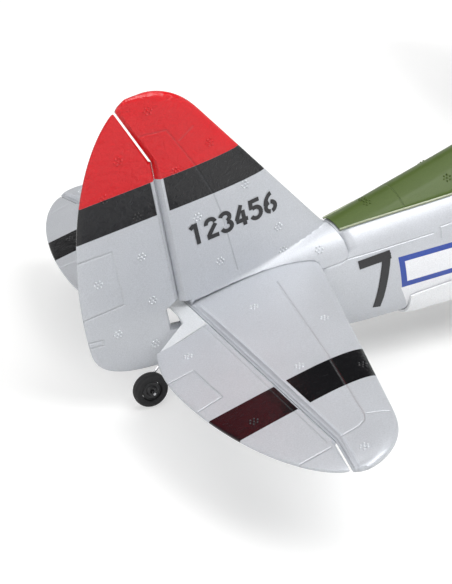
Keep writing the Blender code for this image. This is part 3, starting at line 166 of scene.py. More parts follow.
def groove(a, b, start, end, width=0.32):
    """1 along the middle of a straight panel line, falling to 0 at its edges."""
    run = Vector((end[0] - start[0], end[1] - start[1]))
    ahead, beside = a - start[0], b - start[1]
    along = ((ahead * run.x + beside * run.y) / run.length_squared).math("MINIMUM", 1.0).most(0.0)
    miss_a, miss_b = ahead - along * run.x, beside - along * run.y
    away = (miss_a * miss_a + miss_b * miss_b).math("SQRT")
    return (1.0 - away / width).most(0.0)


def cross_line(a, station, width=0.32):
    """1 along the middle of a panel line that runs all the way across at one station."""
    return (1.0 - abs(a - station) / width).most(0.0)


def blend(ink, mask, colour, other, mode="MIX"):
    """One colour going over into another by a mask; each may be a constant or a Shade."""
    start, end = [c if isinstance(c, Shade) else (*c, 1.0) for c in (colour, other)]
    settings = {"data_type": "RGBA", "blend_type": mode}
    return ink.make("ShaderNodeMix", settings, {0: mask, 6: start, 7: end}, 2)


def noise(ink, spot, scale, detail, **inputs):
    inputs.update({"Vector": spot, "Scale": scale, "Detail": detail})
    return ink.make("ShaderNodeTexNoise", None, inputs)


def painted_foam(name, colour, lines=None, bands=None, metallic=0.35, roughness=0.42, coat=0.0, crinkle=0.5):
    """Paint over bead foam.

    lines(x, y, z) gives a groove mask; bands(x, y, z) gives (mask, colour) pairs of glossy film.
    """
    material, ink = start_material(
        name, Metallic=metallic, Coat_Weight=coat, Coat_Roughness=0.1, Specular_IOR_Level=0.3
    )
    spot, x, y, z = coordinates(ink)
    cloud = noise(ink, spot, 0.05, 3.0)
    flake = noise(ink, spot, 2.6, 2.0)
    ripple = noise(ink, spot, 0.5, 2.0)
    bead = ink.make(
        "ShaderNodeTexVoronoi", {"feature": "SMOOTH_F1"}, {"Vector": spot, "Scale": 0.42, "Smoothness": 0.6}
    )
    shade = 0.77 + cloud * 0.12 + flake * 0.32
    tone = ink.make("ShaderNodeCombineColor", None, {"Red": shade, "Green": shade, "Blue": shade})
    paint = colour
    gloss = roughness + cloud * 0.08
    height = flake * 0.1 + bead * 0.07 + ripple * 0.14
    film = None
    for mask, other in bands(x, y, z) if bands else ():
        paint = blend(ink, mask, paint, other)
        film = film.most(mask) if film else mask
    paint = blend(ink, 1.0, paint, tone, "MULTIPLY")
    if film:
        wrinkle = noise(ink, spot, 0.45, 3.0, Distortion=1.2)
        gloss = gloss - film * 0.28
        height = height + film * wrinkle * crinkle
        drive(material, Metallic=metallic - film * metallic, Coat_Weight=coat + film * 0.2)
    if lines:
        depth = lines(x, y, z)
        height = height - depth
        # The groove mask also darkens the paint: painted shade in the grooves and along the hinge strips.
        paint = blend(ink, depth * 0.1, paint, PAINTED_GROOVE_SHADE)
    bump = ink.make("ShaderNodeBump", None, {"Height": height, "Strength": 0.6, "Distance": 0.35 * MM})
    drive(material, Base_Color=paint, Roughness=gloss, Normal=bump)
    return material


def smooth_row(table, x):
    """Reads a station table with a smooth curve through its rows."""
    last = len(table) - 1
    i = max(0, min(last - 1, sum(row[0] <= x for row in table) - 1))
    span = table[i + 1][0] - table[i][0]
    t = max(0.0, min(1.0, (x - table[i][0]) / span))
    row = []
    for k in range(1, len(table[0])):

        def slope(n):
            a, b = table[max(n - 1, 0)], table[min(n + 1, last)]
            return (b[k] - a[k]) / (b[0] - a[0])

        h = 1.0 - t
        row.append(
            h * h * (1.0 + 2.0 * t) * table[i][k]
            + t * t * (3.0 - 2.0 * t) * table[i + 1][k]
            + span * h * t * (h * slope(i) - t * slope(i + 1))
        )
    return row


def superround(ratio, power=ROUND):
    return max(0.0, 1.0 - min(1.0, abs(ratio)) ** power) ** (1.0 / power)


def side_at(x, z):
    keel, half, mid, top = smooth_row(FUSELAGE, x)
    return half * superround((z - mid) / (top - mid if z > mid else mid - keel))


def deck_at(x, y):
    _, half, mid, top = smooth_row(FUSELAGE, x)
    return mid + (top - mid) * superround(y / half)


def belly_at(x, y):
    keel, half, mid, _ = smooth_row(FUSELAGE, x)
    return mid - (mid - keel) * superround(y / half)


def section(x, inset=0.0, steps=36):
    """Half a fuselage section, keel to top, as (y, z) pairs."""
    keel, half, mid, top = smooth_row(FUSELAGE, x)
    pairs = []
    for i in range(steps + 1):
        turn = math.pi * (i / steps - 0.5)
        across = (half - inset) * abs(math.cos(turn)) ** (2.0 / ROUND)
        reach = (top - mid if turn > 0.0 else mid - keel) - inset
        pairs.append((across, mid + math.copysign(reach * abs(math.sin(turn)) ** (2.0 / ROUND), turn)))
    return pairs


def rudder_hinge(z):
    return HINGE_FOOT + HINGE_RAKE * z - max(0.0, z - FIN_KINK) * (FIN_KINK_SLOPE + HINGE_RAKE)


def spread(low, high, count):
    return [low + (high - low) * i / (count - 1) for i in range(count)]


def loft(rings, closed=False):
    """Skins rings of equal length, capping the end rings unless the loft closes on itself."""
    bm = bmesh.new()
    rows = [[bm.verts.new(point) for point in ring] for ring in rings]
    count = len(rows[0])
    for i in range(len(rows) if closed else len(rows) - 1):
        here, there = rows[i], rows[(i + 1) % len(rows)]
        for j in range(count):
            k = (j + 1) % count
            bm.faces.new((here[j], here[k], there[k], there[j]))
    if not closed:
        bm.faces.new(rows[0])
        bm.faces.new(rows[-1])
    return bm


def box(low, high):
    bm = bmesh.new()
    size = [b - a for a, b in zip(low, high)]
    middle = [(a + b) / 2.0 for a, b in zip(low, high)]
    bmesh.ops.create_cube(bm, size=1.0, matrix=Matrix.Translation(middle) @ Matrix.Diagonal((*size, 1.0)))
    return bm


def solid(name, bm, sharp=35.0):
    """An object from a mesh in body-frame millimetres, set on the airframe, smooth between sharp edges."""
    bmesh.ops.remove_doubles(bm, verts=bm.verts, dist=1e-4)
    bmesh.ops.dissolve_degenerate(bm, edges=bm.edges, dist=1e-5)
    bmesh.ops.recalc_face_normals(bm, faces=bm.faces)
    bm.transform(AIRFRAME @ Matrix.Scale(MM, 4))
    mesh = bpy.data.meshes.new(name)
    bm.to_mesh(mesh)
    bm.free()
    mesh.shade_smooth()
    mesh.set_sharp_from_angle(angle=math.radians(sharp))
    made = bpy.data.objects.new(name, mesh)
    bpy.context.scene.collection.objects.link(made)
    return made


def carve(made, *cutters):
    """Cuts solids out of a piece and keeps the result as its mesh."""
    for cutter in cutters:
        step = made.modifiers.new(cutter.name, "BOOLEAN")
        step.object = cutter
        step.solver = "EXACT"
    shaped = made.evaluated_get(bpy.context.evaluated_depsgraph_get())
    made.data = bpy.data.meshes.new_from_object(shaped)
    made.modifiers.clear()


def clear(*cutters):
    for cutter in cutters:
        bpy.data.objects.remove(cutter, do_unlink=True)


def dress(made, material, body, slot, *nodes):
    """Finishes a piece, lets it ride on its body and puts it in the place of its CAD nodes."""
    made.data.materials.clear()
    made.data.materials.append(material)
    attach(made, body)
    if nodes:
        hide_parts(*nodes)
    return made


def fuselage_ring(side, x):
    lean = max(0.0, 1.0 - (x - 3.0) / 17.0) * HINGE_RAKE
    return [(x + lean * z, side * max(SEAM, y), z) for y, z in section(x)]


def stern_ring(side):
    return [(rudder_hinge(z) + GAP / 2.0, side * max(SEAM, min(y, LIP)), z) for y, z in section(2.0)]


def full_ring(x, inset):
    half = section(x, inset, 18)
    return [(x, y, z) for y, z in half] + [(x, -y, z) for y, z in reversed(half[1:-1])]


BAR_START = 72.4
BAR_END = 130.0
BAR_LEVEL = -13.9
BAR_SLOPE = -0.08
BAR_HALF = 6.2
BAR_EDGE = 2.1
BLUE = (0.035, 0.075, 0.36)
WHITE = (0.86, 0.87, 0.9)
OLIVE = (0.068, 0.107, 0.0185)
LAP_LINES = (
    ((43.0, -1.1), (61.0, -2.5)), ((61.0, -2.5), (86.7, -3.8)), ((88.9, -6.4), (89.6, -2.6)),
    ((89.6, -2.6), (262.0, -2.6)), ((90.0, -30.0), (238.0, -30.0)), ((341.0, -8.0), (392.0, -8.0)),
)
FRAME_STATIONS = (150.0, 205.0, 262.0, 341.0)


def fuselage_lines(x, y, z):
    depth = groove(x, z, *LAP_LINES[0])
    for start, end in LAP_LINES[1:]:
        depth = depth.most(groove(x, z, start, end))
    for station in FRAME_STATIONS:
        depth = depth.most(cross_line(x, station) * (1.0 - z.above(2.5)))
    return depth


def fuselage_bands(x, y, z):
    level = z - BAR_LEVEL - (x - BAR_START) * BAR_SLOPE
    outer = x.within(BAR_START, BAR_END) * level.within(-BAR_HALF, BAR_HALF)
    inner_start, inner_end = BAR_START + BAR_EDGE, BAR_END - BAR_EDGE
    inner = x.within(inner_start, inner_end) * level.within(BAR_EDGE - BAR_HALF, BAR_HALF - BAR_EDGE)
    glare = x.above(326.0) * z.above(1.2) * (1.0 - abs(y).above(15.0))
    # Near-white under the bar over the fairing's length: partly the fairing's pale finish, partly a painted
    # reflection of the white floor on the downward-facing belly.
    pad = (x + z * 0.3).within(66.0, 150.0) * (1.0 - level.above(-BAR_HALF)) * (1.0 - x.above(168.0))
    return (pad, WHITE), (outer, BLUE), (inner, WHITE), (glare, OLIVE)


fuselage_paint = painted_foam("silver_fuselage_foam", SILVER, fuselage_lines, fuselage_bands)
TAIL_THICK_ROOT = 6.2
TAIL_SEAT_LE = 45.0
FIN_FRONT = 56.0
FIN_BASE = -2.2
FOOT_CORNER = 3.2
HATCH_REAR = 238.3
HATCH_FRONT = 336.0
cavity_rings = [full_ring(x, WALL) for x in spread(CAVITY_TAIL, NOSE_STATION, 24)]
cavity_rings.append([(NOSE_STATION + 10.0, y, z) for _, y, z in cavity_rings[-1]])
cavity = solid("fuselage_hollow", loft(cavity_rings))

corner = [math.radians(turn) for turn in spread(-90.0, 0.0, 13)]
seat_floor = -TAIL_THICK_ROOT / 2.0 - GAP
seat_outline = [(-30.0, 14.0), (-30.0, seat_floor), (TAIL_SEAT_LE + GAP, seat_floor)]
seat_outline.append((TAIL_SEAT_LE + GAP, FIN_BASE - GAP))
for turn in corner:
    reach = FOOT_CORNER + GAP
    middle = (FIN_FRONT - FOOT_CORNER, FIN_BASE + FOOT_CORNER)
    seat_outline.append((middle[0] + reach * math.cos(turn), middle[1] + reach * math.sin(turn)))
seat_outline += [(FIN_FRONT + GAP, 4.0), (FIN_FRONT - 2.0 + GAP, 14.0)]
tail_seat = solid("tail_seat", loft([[(x, y, z) for x, z in seat_outline] for y in (-30.0, 30.0)]))
WING_SEMISPAN = 282.5
WING_CHORD = 127.0
WING_AXIS = 305.0
WING_HEIGHT = -40.0
WING_DIHEDRAL = math.tan(math.radians(5.0))
WING_THICK_ROOT = 0.115
WING_THICK_TIP = 0.09
WING_CAMBER = 0.015
TRAILING_HALF = 0.45


def wing_le(y):
    return WING_AXIS + 0.42 * WING_CHORD * math.sqrt(max(0.0, 1.0 - (abs(y) / WING_SEMISPAN) ** 2.6))


def wing_te(y):
    return WING_AXIS - 0.58 * WING_CHORD * math.sqrt(max(0.0, 1.0 - (y / WING_SEMISPAN) ** 2))


def wing_mid(y, u):
    chord = wing_le(y) - wing_te(y)
    return WING_HEIGHT + abs(y) * WING_DIHEDRAL + 4.0 * WING_CAMBER * chord * u * (1.0 - u)


def wing_half(y, u):
    ratio = abs(y) / WING_SEMISPAN
    thick = (WING_THICK_ROOT + (WING_THICK_TIP - WING_THICK_ROOT) * ratio) * (wing_le(y) - wing_te(y))
    shape = 0.2969 * math.sqrt(u) - 0.126 * u - 0.3516 * u * u + 0.2843 * u ** 3 - 0.1015 * u ** 4
    return max(5.0 * thick * shape, TRAILING_HALF)


def wing_ring(y, grow=0.0, steps=28):
    """A wing section at y, swollen all round by grow."""
    s = abs(y)
    front, back = wing_le(s) + grow, wing_te(s) - grow
    upper = []
    for t in spread(1.0, 0.05, steps):
        u = t * t
        upper.append((front - u * (front - back), wing_mid(s, u), wing_half(s, u) + grow))
    ring = [(x, y, m + h) for x, m, h in upper] + [(front, y, wing_mid(s, 0.0))]
    return ring + [(x, y, m - h) for x, m, h in reversed(upper)]


def rod(bm, start, end, radius, steps=20):
    """Adds a round bar between two points."""
    run = Vector(end) - Vector(start)
    turn = run.to_track_quat("Z", "Y").to_matrix().to_4x4()
    spot = Matrix.Translation((Vector(start) + Vector(end)) / 2.0) @ turn
    bmesh.ops.create_cone(
        bm, cap_ends=True, segments=steps, radius1=radius, radius2=radius, depth=run.length, matrix=spot
    )
    return bm


TUNNEL_RADIUS = 1.3
wing_slot = solid("wing_slot", loft([wing_ring(y, GAP) for y in (-45.0, -20.0, -0.01, 0.01, 20.0, 45.0)]))
tunnels = bmesh.new()
for start, end in (((227.0, 19.2, -8.1), (0.0, 22.3, -8.0)), ((227.0, 4.8, -8.1), (-3.24, 8.0, -9.7))):
    start, end = Vector(start), Vector(end)
    rod(tunnels, start.lerp(end, 0.08), end, TUNNEL_RADIUS)
tunnels = solid("rod_tunnels", tunnels)
hatch_mouth = solid("hatch_mouth", box((HATCH_REAR + 14.0, -15.0, -5.0), (HATCH_FRONT - 12.0, 15.0, 30.0)))
for side, tag in SIDES:
    rings = [stern_ring(side)] + [fuselage_ring(side, x) for x in spread(2.8, 20.0, 7)]
    rings += [fuselage_ring(side, x) for x in spread(24.0, NOSE_STATION, 93)]
    half = solid("fuselage_foam_" + tag, loft(rings))
    carve(half, cavity, tail_seat, hatch_mouth, wing_slot, tunnels)
    dress(half, fuselage_paint, "airframe", "silver_foam", "fuselage_" + tag)
clear(cavity, tail_seat, hatch_mouth, wing_slot, tunnels)

# Turtledeck: the olive spine glued on top of the fuselage behind the canopy, a solid foam moulding whose
# foot follows the fuselage top and whose ridge rises to the back of the canopy.
DECK_GAP = 0.45
DECK_STEP = 0.6
RIDGE_ROUND = 0.2
BEAD_RADIUS = 0.42
SPINE_REAR = FIN_FRONT + 2.0 * GAP
SPINE = ((56.0, 5.3, 8.2), (100.0, 11.8, 13.9), (150.0, 16.5, 21.0), (200.0, 19.0, 28.5), (250.0, 20.0, 36.0))


def ridge_share(f):
    """Straight sides that meet in a rounded ridge: 0 at the edges and 1 on the centre line."""
    outer = math.hypot(1.0, RIDGE_ROUND)
    return (outer - math.hypot(f, RIDGE_ROUND)) / (outer - RIDGE_ROUND)


def spine_top(x, y):
    """Height of the spine's outer face, with its rounded lower edge."""
    half, ridge = smooth_row(SPINE, x)
    step = DECK_STEP * max(0.3, min(1.0, (x - SPINE_REAR) / 24.0))
    rise = max(0.12, ridge - deck_at(x, 0.0) - DECK_GAP - step)
    rounded = step * math.sqrt(max(0.0, 1.0 - max(0.0, (abs(y / half) - 0.97) / 0.03) ** 2))
    return deck_at(x, y) + DECK_GAP + rounded + rise * ridge_share(y / half)


def spine_ring(x):
    half = smooth_row(SPINE, x)[0]
    stations = [f * half for f in spread(1.0, -1.0, 49)]
    foot = [(x, y, deck_at(x, y) + DECK_GAP) for y in reversed(stations)]
    return [(x, y, spine_top(x, y)) for y in stations] + foot


def spine_lines(x, y, z):
    return cross_line(x, 80.5).most(cross_line(x, 150.0)).most(cross_line(x, 205.0))


def bead_ring(side, x):
    """A small round lip along the spine's lower edge."""
    half = smooth_row(SPINE, x)[0]
    spot = Vector((x, side * half, deck_at(x, half) + DECK_GAP + 0.3))
    turns = [math.tau * i / 10.0 for i in range(10)]
    return [spot + Vector((0.0, BEAD_RADIUS * math.cos(t), BEAD_RADIUS * math.sin(t))) for t in turns]


olive_paint = painted_foam("olive_spine_foam", OLIVE, spine_lines, None, 0.0, 0.5, 0.1)
# The bead's pale olive is a painted highlight along the spine's lower edge.
bead_highlight_paint = painted_foam("glossy_olive_bead_highlight", (0.3, 0.34, 0.22), None, None, 0.0, 0.25, 0.8)
spine_stations = spread(SPINE_REAR, HATCH_REAR - GAP, 60)
for side, tag in SIDES:
    bead = solid("spine_bead_" + tag, loft([bead_ring(side, x) for x in spine_stations]))
    dress(bead, bead_highlight_paint, "airframe", "olive_foam")
spine = solid("turtledeck_foam", loft([spine_ring(x) for x in spine_stations]))
dress(spine, olive_paint, "airframe", "olive_foam", "turtledeck")

# Stabilizer: one moulded foam blade let into the fuselage through both sides, with a V groove along its
# hinge edge. Silver, with a glossy black band stuck round each half.
TAIL_SEMISPAN = 110.0
TAIL_ROOT_LE = 48.1
TAIL_SWEEP = 0.301
TAIL_TIP_START = 88.0
TAIL_THICK_TIP = 3.6
TAIL_KINK = 94.8
TAIL_KINK_SLOPE = 0.215
TAIL_CORNER = 2.2
ELEVATOR_CHORD = 24.9
ELEVATOR_PEAK = 42.0
FIXED_BEVEL = 1.2
BAND_IN = 61.9
BAND_OUT = 76.1
BLACK_FILM = (0.013, 0.013, 0.0145)
# The same black film as on the fin, painted darker on the tailplane: painted shade for the dark reflection on
# its upper faces.
SHADED_TAIL_BLACK = (0.004, 0.004, 0.005)


def blade_half(u, thick):
    nose = min(1.0, u / 0.3)
    aft = max(0.0, (u - 0.3) / 0.7)
    front = thick / 2.0 * math.sqrt(max(0.0, 1.0 - (1.0 - nose) ** 2))
    return front if u < 0.3 else TRAILING_HALF + (thick / 2.0 - TRAILING_HALF) * (1.0 - aft ** 1.35)


def tail_le(s):
    line = TAIL_ROOT_LE - TAIL_SWEEP * s
    tip = max(0.0, (s - TAIL_TIP_START) / (TAIL_SEMISPAN - TAIL_TIP_START))
    return min(TAIL_SEAT_LE, line) * math.sqrt(max(0.0, 1.0 - tip ** 4))


def tail_te(s):
    if s > ELEVATOR_PEAK:
        return -ELEVATOR_CHORD * superround((s - ELEVATOR_PEAK) / (0.604 * TAIL_SEMISPAN), 1.85)
    return -ELEVATOR_CHORD * superround((ELEVATOR_PEAK - s) / 40.3, 2.0)


def tail_thick(s):
    edge = max(0.0, (s - 0.94 * TAIL_SEMISPAN) / (0.062 * TAIL_SEMISPAN))
    flat = TAIL_THICK_ROOT + (TAIL_THICK_TIP - TAIL_THICK_ROOT) * s / TAIL_SEMISPAN
    return flat * (1.0 - 0.5 * min(1.0, edge) ** 2)


def tail_hinge(s):
    return -max(0.0, s - TAIL_KINK) * TAIL_KINK_SLOPE


def tail_half(x, s):
    front, back = tail_le(s), min(tail_te(s), tail_hinge(s) - 1.0)
    return blade_half((front - x) / (front - back), tail_thick(s))


def folded(stations, place):
    """A closed section: its stations along one face and back along the other."""
    ring = [place(x, half) for x, half in stations]
    return ring + [place(x, -half) for x, half in reversed(stations) if half > 1e-6]


def round_tip(s, tip, reach):
    return math.sqrt(max(0.02, 1.0 - (max(0.0, s - tip + reach) / reach) ** 2))


def stab_ring(y, grow=0.0):
    s = abs(y)
    hinge = tail_hinge(s) + GAP / 2.0 + 1.25 * max(0.0, s - TAIL_SEMISPAN + TAIL_CORNER) ** 2
    bevel = hinge + FIXED_BEVEL * (tail_half(hinge + 3.0, s) - LIP)
    front = tail_le(s)
    thin = round_tip(s, TAIL_SEMISPAN, 1.6)
    stations = [(hinge - grow, LIP * thin + grow)]
    for step in spread(0.35, 1.0, 4):
        x = hinge + step * (bevel - hinge)
        stations.append((x, (LIP + step * (tail_half(bevel, s) - LIP)) * thin + grow))
    for t in spread(0.98, 0.0, 26):
        x = front - t * t * (front - bevel)
        stations.append((x + grow * (1.0 - t), tail_half(x, s) * thin + grow if t > 0.0 else 0.0))
    return folded(stations, lambda x, half: (x, y, half))


def polyline(a, b, points, width=0.5):
    """A panel line through several points, as one groove mask."""
    depth = groove(a, b, points[0], points[1], width)
    for start, end in zip(points[1:], points[2:]):
        depth = depth.most(groove(a, b, start, end, width))
    return depth


def ahead_of_hinge(x, span):
    """How far a spot lies in front of the hinge line, which turns back at the tip."""
    return x + (span - TAIL_KINK).most(0.0) * TAIL_KINK_SLOPE


def stab_lines(x, y, z):
    span = abs(y)
    bends = ((27.2, 13.1), (19.0, 58.2), (11.6, 91.2), (10.2, 93.6), (7.8, 94.8), (1.2, 95.1))
    spar = polyline(x, span, bends)
    tip = polyline(x, span, ((12.6, 91.5), (18.5, 93.8)))
    hinge = ahead_of_hinge(x, span)
    # Painted shade over the hinge strip, darkening the paint, with a raised ridge in the bump along it.
    hinge_groove_shade = hinge.within(-0.5, 1.9, 0.8) * 0.8 - hinge.within(0.7, 1.1, 0.3)
    return spar.most(tip).most(hinge_groove_shade)


def stab_bands(x, y, z):
    # The hinge strip's darker, non-metallic grey is painted shade in the groove along the hinge.
    strip = 1.0 - ahead_of_hinge(x, abs(y)).above(2.7, 0.3)
    black = abs(y).within(BAND_IN, BAND_OUT) * x.above(2.9)
    return (strip, (0.52, 0.54, 0.58)), (black, SHADED_TAIL_BLACK)


stab_paint = painted_foam("silver_stabilizer_foam", SILVER, stab_lines, stab_bands)
half_spans = spread(2.0, TAIL_TIP_START, 30) + spread(89.0, 107.0, 19) + spread(107.4, 109.9, 12)
stab_spans = [-s for s in reversed(half_spans)] + half_spans
stabilizer = solid("stabilizer_foam", loft([stab_ring(y) for y in stab_spans]), 28.0)
dress(stabilizer, stab_paint, "airframe", "silver_foam", "stabilizer")

# Elevator halves: foam blades that hang on the stabilizer's groove by a thin live hinge. The outline
# swells behind the hinge and runs out round the tip; each half is cut off square beside the rudder.
ELEVATOR_ROOT = 17.0
ELEVATOR_TIP = 107.2
MOVING_BEVEL = 0.8
TIP_SLOT = 0.6
WORN_BLACK = (0.014, 0.005, 0.007)


def moving_stations(nose, back, half_at, steepest, blunt, steps, thin=1.0):
    """A hinged blade from its nose over the bevel to its round rear edge, as (x, half thickness) pairs."""
    shoulder = max(nose - MOVING_BEVEL * (half_at(nose) - LIP), nose + steepest * (back - nose))
    halfway = (nose + 0.5 * (shoulder - nose), (LIP + half_at(shoulder)) / 2.0 * thin)
    stations = [(nose, LIP * thin), halfway]
    edge = min(back + TRAILING_HALF, shoulder - blunt)
    for u in spread(0.0, 1.0, steps):
        x = shoulder + u * (edge - shoulder)
        stations.append((x, half_at(x) * thin))
    last = stations[-1][1]
    for turn in (30.0, 60.0, 80.0):
        swing = math.radians(turn)
        stations.append((edge - (edge - back) * math.sin(swing), last * math.cos(swing)))
    return stations


def elevator_ring(y, back, slant=0.0, thin=1.0):
    s = abs(y)
    nose = tail_hinge(s) - (TIP_SLOT if s > TAIL_KINK + 0.1 else GAP / 2.0)
    stations = moving_stations(nose, back, lambda x: tail_half(x, s), 0.5, 0.02, 16, thin)
    side = math.copysign(1.0, y)
    return folded(stations, lambda x, half: (x, y - side * slant * x, half))


def elevator_lines(x, y, z):
    span = abs(y)
    tab = polyline(x, span, ((-24.8, 36.4), (-15.8, 36.4), (-15.1, 54.6), (-23.6, 55.6)))
    fold = cross_line(x, -2.6, 0.4) * (1.0 - span.above(TAIL_KINK))
    tip = polyline(x, span, ((-13.5, 96.7), (-2.8, 97.0)))
    return tab.most(tip).most(fold * 0.7)


def elevator_bands(x, y, z):
    band = abs(y).within(BAND_IN, BAND_OUT) * (1.0 - x.above(-0.9))
    worn = band * (1.0 - x.above(-5.0)) * (1.0 - y.above(0.0))
    return (band, SHADED_TAIL_BLACK), (worn, WORN_BLACK)


elevator_paint = painted_foam("silver_elevator_foam", SILVER, elevator_lines, elevator_bands)
elevator_spans = spread(19.0, 92.0, 50) + [TAIL_KINK] + spread(95.0, 105.0, 14)
elevator_spans += spread(105.3, ELEVATOR_TIP, 9)
for side, tag in SIDES:
    rings = [elevator_ring(side * ELEVATOR_ROOT, tail_te(ELEVATOR_ROOT + 3.0), 0.16)]
    rings += [elevator_ring(side * s, tail_te(s), 0.0, round_tip(s, 107.6, 1.6)) for s in elevator_spans]
    half = solid("elevator_foam_" + tag, loft(rings), 28.0)
    dress(half, elevator_paint, "elevator", "silver_foam", "elevator_" + tag)

# Elevator joiner: the bow-tie strip that ties the two elevator halves together behind the fin, passing
# through the rudder's notch. Thin foam sheet in a lighter silver, partly its own paler finish and partly
# painted light on its flat upper face.
bow_tie = ((ELEVATOR_ROOT - GAP - 0.1, tail_te(ELEVATOR_ROOT + 3.0)), (9.8, -6.6), (2.8, -5.3))
outer_side = [elevator_ring(s, back, 0.16 if s > 12.0 else 0.0) for s, back in bow_tie]
inner_side = [elevator_ring(-s, back, 0.16 if s > 12.0 else 0.0) for s, back in reversed(bow_tie)]
joiner = solid("elevator_joiner_strip", loft(outer_side + inner_side), 28.0)
# The lighter silver is partly the joiner's paler finish and partly painted light on its flat upper face.
joiner_paint = painted_foam("pale_joiner_foam", (0.74, 0.76, 0.78), None, None, 0.25, 0.45)
dress(joiner, joiner_paint, "elevator", "silver_foam", "elevator_joiner")

# Fin: a foam blade with a flared foot that takes over the fuselage's own section, glued on over the
# stabilizer. Red above the black band, silver below, with the V groove of the rudder hinge behind.
FIN_TOP = 76.4
FIN_ROOT_LE = 59.3
FIN_SWEEP = 0.628
FIN_THICK_ROOT = 6.4
FIN_THICK_TIP = 4.0
RUDDER_CHORD = 35.85
RUDDER_BOTTOM = -17.0
FOOT_RISE = 0.9
FIN_BEVEL = 0.9
RED = (0.64, 0.010, 0.015)
FIN_BAND = 36.5
FIN_RED = 47.9


def fin_le(z):
    line = FIN_ROOT_LE - FIN_SWEEP * z
    tip = max(0.0, (z - 62.0) / (FIN_TOP - 62.0))
    return line * math.sqrt(max(0.0, 1.0 - 0.97 * tip ** 4))


def fin_thick(z):
    edge = max(0.0, (z - FIN_TOP + 6.0) / 6.0)
    flat = FIN_THICK_ROOT + (FIN_THICK_TIP - FIN_THICK_ROOT) * max(0.0, z) / FIN_TOP
    return flat * (1.0 - 0.5 * min(1.0, edge) ** 2)


def rudder_te(z):
    if z >= 0.0:
        return -RUDDER_CHORD * max(0.0, 1.0 - (z / 76.6) ** 1.9) ** 0.55
    return -RUDDER_CHORD * max(0.0, 1.0 - min(1.0, z / RUDDER_BOTTOM) ** 3) ** 0.4545


def smooth_max(a, b, width):
    mix = max(0.0, min(1.0, 0.5 + (a - b) / (2.0 * width)))
    return b + (a - b) * mix + width * mix * (1.0 - mix)


def fin_half(x, z):
    front, back = fin_le(z), min(rudder_te(z), rudder_hinge(z) - 1.0)
    blade = blade_half((front - x) / (front - back), fin_thick(z))
    if z > 12.0 or x < 3.0:
        return blade
    rise = FOOT_RISE * max(0.0, min(1.0, (x - 20.0) / 30.0))
    return smooth_max(blade, side_at(x, z - rise), 0.9)


def fin_front(z):
    """The leading edge, going over into the foot's own front and its rounded lower corner."""
    drop = max(0.0, FIN_BASE + FOOT_CORNER - z)
    corner = FOOT_CORNER - math.sqrt(max(0.0, FOOT_CORNER ** 2 - drop ** 2))
    foot = FIN_FRONT - corner - max(0.0, z - 4.0) * 0.25
    share = max(0.0, min(1.0, (z - 7.4) / 2.4))
    return foot + (fin_le(z) - foot) * share * share * (3.0 - 2.0 * share)


def fin_ring(z):
    back = rudder_hinge(z) + GAP / 2.0 + max(0.0, z - 73.4) ** 1.5
    front = fin_front(z)
    bevel = back + FIN_BEVEL * (blade_half(0.6, fin_thick(z)) - LIP)
    thin = round_tip(z, FIN_TOP, 1.6)
    stations = [(back, LIP * thin)]
    for step in spread(0.35, 1.0, 4):
        x = back + step * (bevel - back)
        stations.append((x, (LIP + step * (fin_half(bevel, z) - LIP)) * thin))
    for t in spread(0.98, 0.0, 34):
        x = front - t * t * (front - bevel)
        stations.append((x, max(0.02, fin_half(x, z)) * thin))
    return folded(stations, lambda x, half: (x, half, z))


def fin_lines(x, y, z):
    bends = ((-2.9, 63.9), (6.1, 62.8), (12.3, 48.7), (16.1, 37.1), (17.6, 27.6), (18.6, 7.0))
    spar = polyline(x, z, bends)
    rib = polyline(x, z, ((9.5, 58.0), (14.9, 60.6)))
    return spar.most(rib)


def fin_bands(x, y, z):
    clear_of_groove = (x - z * HINGE_RAKE).above(HINGE_FOOT + 2.3)
    return (z.above(FIN_RED), RED), (z.within(FIN_BAND, FIN_RED) * clear_of_groove, BLACK_FILM)


fin_paint = painted_foam("silver_fin_foam", SILVER, fin_lines, fin_bands, crinkle=2.2)
fin_heights = spread(FIN_BASE, 1.0, 14) + spread(1.4, 12.0, 30)
fin_heights += spread(13.0, 72.0, 60) + spread(72.4, 76.3, 16)
fin = solid("fin_foam", loft([fin_ring(z) for z in fin_heights]), 28.0)
stab_room = solid("stab_room", loft([stab_ring(y, GAP) for y in (-30.0, -12.0, 12.0, 30.0)]))
tail_gap = solid("tail_gap", box((-20.0, -14.0, -4.0), (0.6, 14.0, 3.2)))
under_stab = solid("under_stab", box((-20.0, -14.0, -4.0), (TAIL_SEAT_LE - 9.0, 14.0, 0.0)))
carve(fin, stab_room, tail_gap, under_stab)
clear(stab_room, tail_gap, under_stab)
dress(fin, fin_paint, "airframe", "silver_foam", "fin")

# Rudder: a foam blade hung on the fin and the sternpost by a live hinge, notched at the tailplane for the
# elevator strip. It carries the red tip and the black band on from the fin.
RUDDER_SLOT = 0.65
NOTCH_NOSE = -7.5


def rudder_half(x, z):
    """Half thickness, tapering from the hinge line of the lower rudder to the trailing edge."""
    widest = blade_half(0.66, fin_thick(z) * 0.92)
    hinge = HINGE_FOOT + HINGE_RAKE * z
    share = max(0.0, min(1.0, (hinge - x) / (hinge - min(rudder_te(z), hinge - 4.0))))
    return widest + share ** 1.15 * (TRAILING_HALF - widest)


def rudder_ring(z, nose=None):
    if nose is None:
        nose = rudder_hinge(z) - (RUDDER_SLOT if z > FIN_KINK + 0.1 else GAP / 2.0)
    back = min(rudder_te(z), nose - 0.3)
    stations = moving_stations(nose, back, lambda x: rudder_half(x, z), 0.8, 0.05, 18)
    return folded(stations, lambda x, half: (x, half, z))


